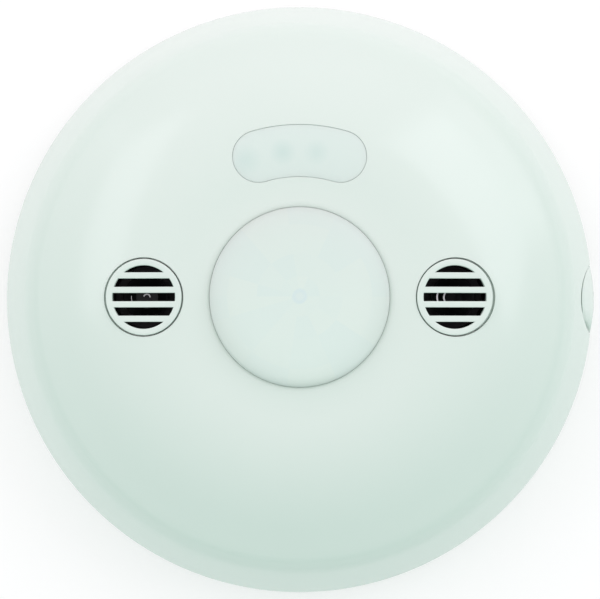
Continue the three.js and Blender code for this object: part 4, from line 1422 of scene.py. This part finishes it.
def build_hooks():
    """The four snap hooks inside the cover's skirt."""
    bottom, top, width = 4.2, 7.4, 9
    outer, inner = skirt_radius(top) - 1.2, WALL_RADIUS + 0.3
    for number, angle in enumerate(HOOK_ANGLES, 1):
        hook = plain_box(outer - inner, width, bottom, top, (outer + inner) / 2)
        hook = moved(carved(hook, edge=0.3), turn=angle)
        made_of("cover_plastic", f"cover_hook_{number}", hook, body="cover")


def build_retainer():
    """The ring that holds the lens, with cuts for the stakes, the caps and the window.

    Known fault: with no easing, the ring has doubled points at its corners. The cuts are unreliable on
    them, so a notch can be missing, the mesh isn't clean, and it can differ from one run to the next.
    """
    retainer = Place("lens_retainer")
    low, high = 20, 30
    ring = ring_shape(RETAINER_BORE, retainer.high.y, retainer.bottom, retainer.top, 0.0, 120)
    stakes = circle(STAKE_CIRCLE_RADIUS, 4, start=math.pi / 4)
    cuts = [plain_pin(STAKE_HOLE_RADIUS, low, high, x, y, 32) for x, y in stakes]
    cuts += [plain_pin(CAP_RADIUS + 0.8, low, high, side * (CAP_REACH - 0.4)) for side in SIDES.values()]
    window = band(WINDOW_ARC_RADIUS, WINDOW_HALF_WIDTH + 1.6, WINDOW_HALF_SWEEP * 1.2, 1.0)
    cuts.append(slab(window, [], [(0, low), (0, high)]))
    made_of("black_plastic", "retainer", carved(ring, cuts, edge=0.15), "lens_retainer", "cover")


def build_stakes():
    """The cover's four stakes, whose melted heads hold the retainer."""
    shank, flare, head = 1.0, 1.2, 1.6
    bottom, top = 24.05, 27.3
    for number, (x, y) in enumerate(circle(STAKE_CIRCLE_RADIUS, 4, start=math.pi / 4), 1):
        profile = [(0, bottom), (flare, bottom), (head, 24.25), (flare, 24.58), (shank, 24.6)]
        profile += [(shank, top), (0, top)]
        stake = turned(eased(profile, 0.1, 2), 32, x, y)
        made_of("cover_plastic", f"stake_{number}", stake, body="cover")


# ---------------------------------------------------------------- inside the transducers

# Bright edges on each horn: (radius, half width, half sweep and turn in degrees, bottom, top).
HORN_RIBS = {
    "left": [(0.62, 0.12, 75, -8, -5.2, -4.3), (2.9, 0.06, 9, 94, -4.3, -3.75)],
    "right": [(2.9, 0.16, 22, 96, -4.3, -3.75), (1.45, 0.16, 40, 96, -5.3, -4.8)],
}


def build_transducer(name, side):
    """A grille cap with the ultrasonic transducer behind it. Depths are below the cap's face."""
    place = cap_frame(side)

    def made(slot, label, shape, node=None, sharp=35.0):
        return made_of(slot, f"{name}_{label}", Shape().absorb(shape, place), node, sharp=sharp)

    made("cover_plastic", "cap", cap_shape(), f"{name}_grille_cap", 40.0)
    made("cover_plastic", "cap_flange", ring_shape(CAP_RADIUS - 0.3, CAP_RADIUS + 0.7, -2.6, -1.9, 0.1, 96))
    can, wall, bottom, top, base = 6.35, 0.45, -10.0, -2.0, 1
    profile = [(0, bottom), (can, bottom), (can, top)]
    profile += [(can - wall, top), (can - wall, bottom + base), (0, bottom + base)]
    made("dark_aluminium", "can", turned(eased(profile, 0.2, 3), 72), f"{name}_transducer_can")
    horn = [(0, -8.8), (5.2, -8.8), (5.2, -8.0), (1.1, -8.0), (1.1, -6.2), (2.2, -5.2), (4.3, -3.0)]
    horn += [(4.1, -2.85), (2.0, -4.7), (0.9, -5.3), (0, -5.3)]
    made("dark_aluminium", "horn", turned(eased(horn, 0.12, 3), 72), f"{name}_transducer_cone")
    for row, (radius, half_width, sweep, turn, bottom, top) in enumerate(HORN_RIBS[name], 1):
        rib = slab(band(radius, half_width, math.radians(sweep), 0.15), [], rounding(bottom, top, 0.05, 2))
        made("steel", f"rib_{row}", moved(rib, turn=math.radians(turn)))
    inner, seat = can + 0.3, bottom - 0.3
    boot = [(0, seat - 6), (CAP_RADIUS, seat - 6), (CAP_RADIUS, -5.3)]
    boot += [(inner, -5.3), (inner, seat), (0, seat)]
    cup = Shape().absorb(turned(eased(boot, 0.25, 3), 72), place)
    floor = plain_box(40, 40, -10, BOARD.top + 0.2, place.translation.x)
    made_of("rubber", f"{name}_boot", carved(cup, [floor]), f"{name}_transducer_boot")


# ---------------------------------------------------------------- scene

FLOOR_GLOW = 0.5
SKY_LOW = (0.40, 0.625, 0.55)
SKY_HIGH = (1.18, 1.06, 1.10)
SOFTBOX_HEIGHT = 1.3
# Each softbox has its centre and size as slopes seen from the object, its turn in degrees,
# its radiance and its colour.
SOFTBOXES = {
    "left": ((-0.935, 0.51), (0.63, 1.18), 0.0, 1.2, (1.0, 0.95, 1.02)),
    "right": ((1.053, 0.604), (1.1, 1.12), -38.6, 1.35, (0.98, 0.97, 1.03)),
}


def build_floor():
    """A plain pale floor just under the object, clear from below so that the back can be seen."""
    nodes = Nodes("floor")
    nodes.colour(nodes.mix(nodes.noise(400, 2), (0.5, 0.5, 0.5), (0.48, 0.48, 0.48)))
    nodes.set(Roughness=0.9, Emission_Color=(1, 1, 1, 1), Emission_Strength=FLOOR_GLOW)
    shown = nodes.add("ShaderNodeMixShader")
    nodes.link(nodes.add("ShaderNodeNewGeometry").outputs["Backfacing"], shown.inputs["Fac"])
    nodes.link(nodes.shader.outputs["BSDF"], shown.inputs[1])
    nodes.link(nodes.add("ShaderNodeBsdfTransparent").outputs["BSDF"], shown.inputs[2])
    output = next(n for n in nodes.tree.nodes if n.type == "OUTPUT_MATERIAL")
    nodes.link(shown.outputs["Shader"], output.inputs["Surface"])
    half, level = 12.0, -0.02 * MM
    corners = [(-half, -half, level), (half, -half, level), (half, half, level), (-half, half, level)]
    mesh = bpy.data.meshes.new("floor")
    mesh.from_pydata(corners, [], [(0, 1, 2, 3)])
    mesh.materials.append(nodes.material)
    made = bpy.data.objects.new("floor", mesh)
    bpy.context.scene.collection.objects.link(made)


def softbox(name, centre, size, turn, radiance, colour):
    """A rectangle of light that lies level above the object. Its power follows from its radiance."""
    light = bpy.data.lights.new(name, "AREA")
    light.shape = "RECTANGLE"
    light.size, light.size_y = size[0] * SOFTBOX_HEIGHT, size[1] * SOFTBOX_HEIGHT
    light.energy = radiance * math.pi * light.size * light.size_y
    light.color = colour
    made = bpy.data.objects.new(name, light)
    made.location = (centre[0] * SOFTBOX_HEIGHT, centre[1] * SOFTBOX_HEIGHT, SOFTBOX_HEIGHT)
    made.rotation_euler = (0, 0, math.radians(turn))
    bpy.context.scene.collection.objects.link(made)


def build_sky():
    """Soft light from all round, brightest from above and a little behind the object."""
    world = bpy.data.worlds.new("world")
    bpy.context.scene.world = world
    world.use_nodes = True
    nodes, links = world.node_tree.nodes, world.node_tree.links
    towards = nodes.new("ShaderNodeVectorMath")
    towards.operation = "DOT_PRODUCT"
    links.new(nodes.new("ShaderNodeTexCoord").outputs["Generated"], towards.inputs[0])
    towards.inputs[1].default_value = (0, math.sin(SKY_LEAN), math.cos(SKY_LEAN))
    share = nodes.new("ShaderNodeMapRange")
    share.interpolation_type = "SMOOTHSTEP"
    links.new(towards.outputs["Value"], share.inputs["Value"])
    blend = nodes.new("ShaderNodeMix")
    blend.data_type = "RGBA"
    links.new(share.outputs["Result"], blend.inputs["Factor"])
    colours = [socket for socket in blend.inputs if socket.type == "RGBA"]
    colours[0].default_value = (*SKY_LOW, 1)
    colours[1].default_value = (*SKY_HIGH, 1)
    result = next(socket for socket in blend.outputs if socket.type == "RGBA")
    links.new(result, nodes["Background"].inputs["Color"])


def build_lights():
    """The sky and the softboxes."""
    build_sky()
    for name, settings in SOFTBOXES.items():
        softbox(name, *settings)


def build_camera():
    """Looks nearly straight down on the dome from about a metre, leaning a degree towards -Y."""
    camera = bpy.data.objects.new("camera", bpy.data.cameras.new("camera"))
    camera.data.lens = 300
    camera.data.sensor_width = 36
    aim = Vector((0.08, -0.04, 1.5)) * MM
    lean = math.radians(0.9)
    distance = 0.975
    camera.location = aim + Vector((0, -math.sin(lean), math.cos(lean))) * distance
    camera.rotation_euler = (lean, 0, 0)
    camera.data.clip_start, camera.data.clip_end = 0.01, 100
    bpy.context.scene.collection.objects.link(camera)
    bpy.context.scene.camera = camera


build_camera()
build_lights()
build_floor()
build_cover()
build_lens()
build_window()
build_hooks()
build_retainer()
build_stakes()
for side_name, side_sign in SIDES.items():
    build_transducer(side_name, side_sign)
build_housing_floor()
build_housing_wall()
build_standoffs()
build_nose()
build_grommet()
build_board()
build_screws()
build_small_chips()
build_chips()
build_capacitor("smoothing_capacitor", upright=True)
build_capacitor("supply_capacitor", upright=False)
build_inductor()
build_relay()
build_lead_socket()
build_detector()
build_lamp("infrared_lamp")
build_lamp("ultrasonic_lamp")
build_light_sensor()
build_setting_switch()
build_trimmers()
build_learn_button()

bpy.context.scene.view_settings.view_transform = "Standard"

slots = {row["node"]: row["material_slot"] for row in frame["record"]["subparts"]}
for node_name, node_object in frame["nodes"].items():
    node_object.data.materials.clear()
    node_object.data.materials.append(MATERIALS[slots[node_name]])
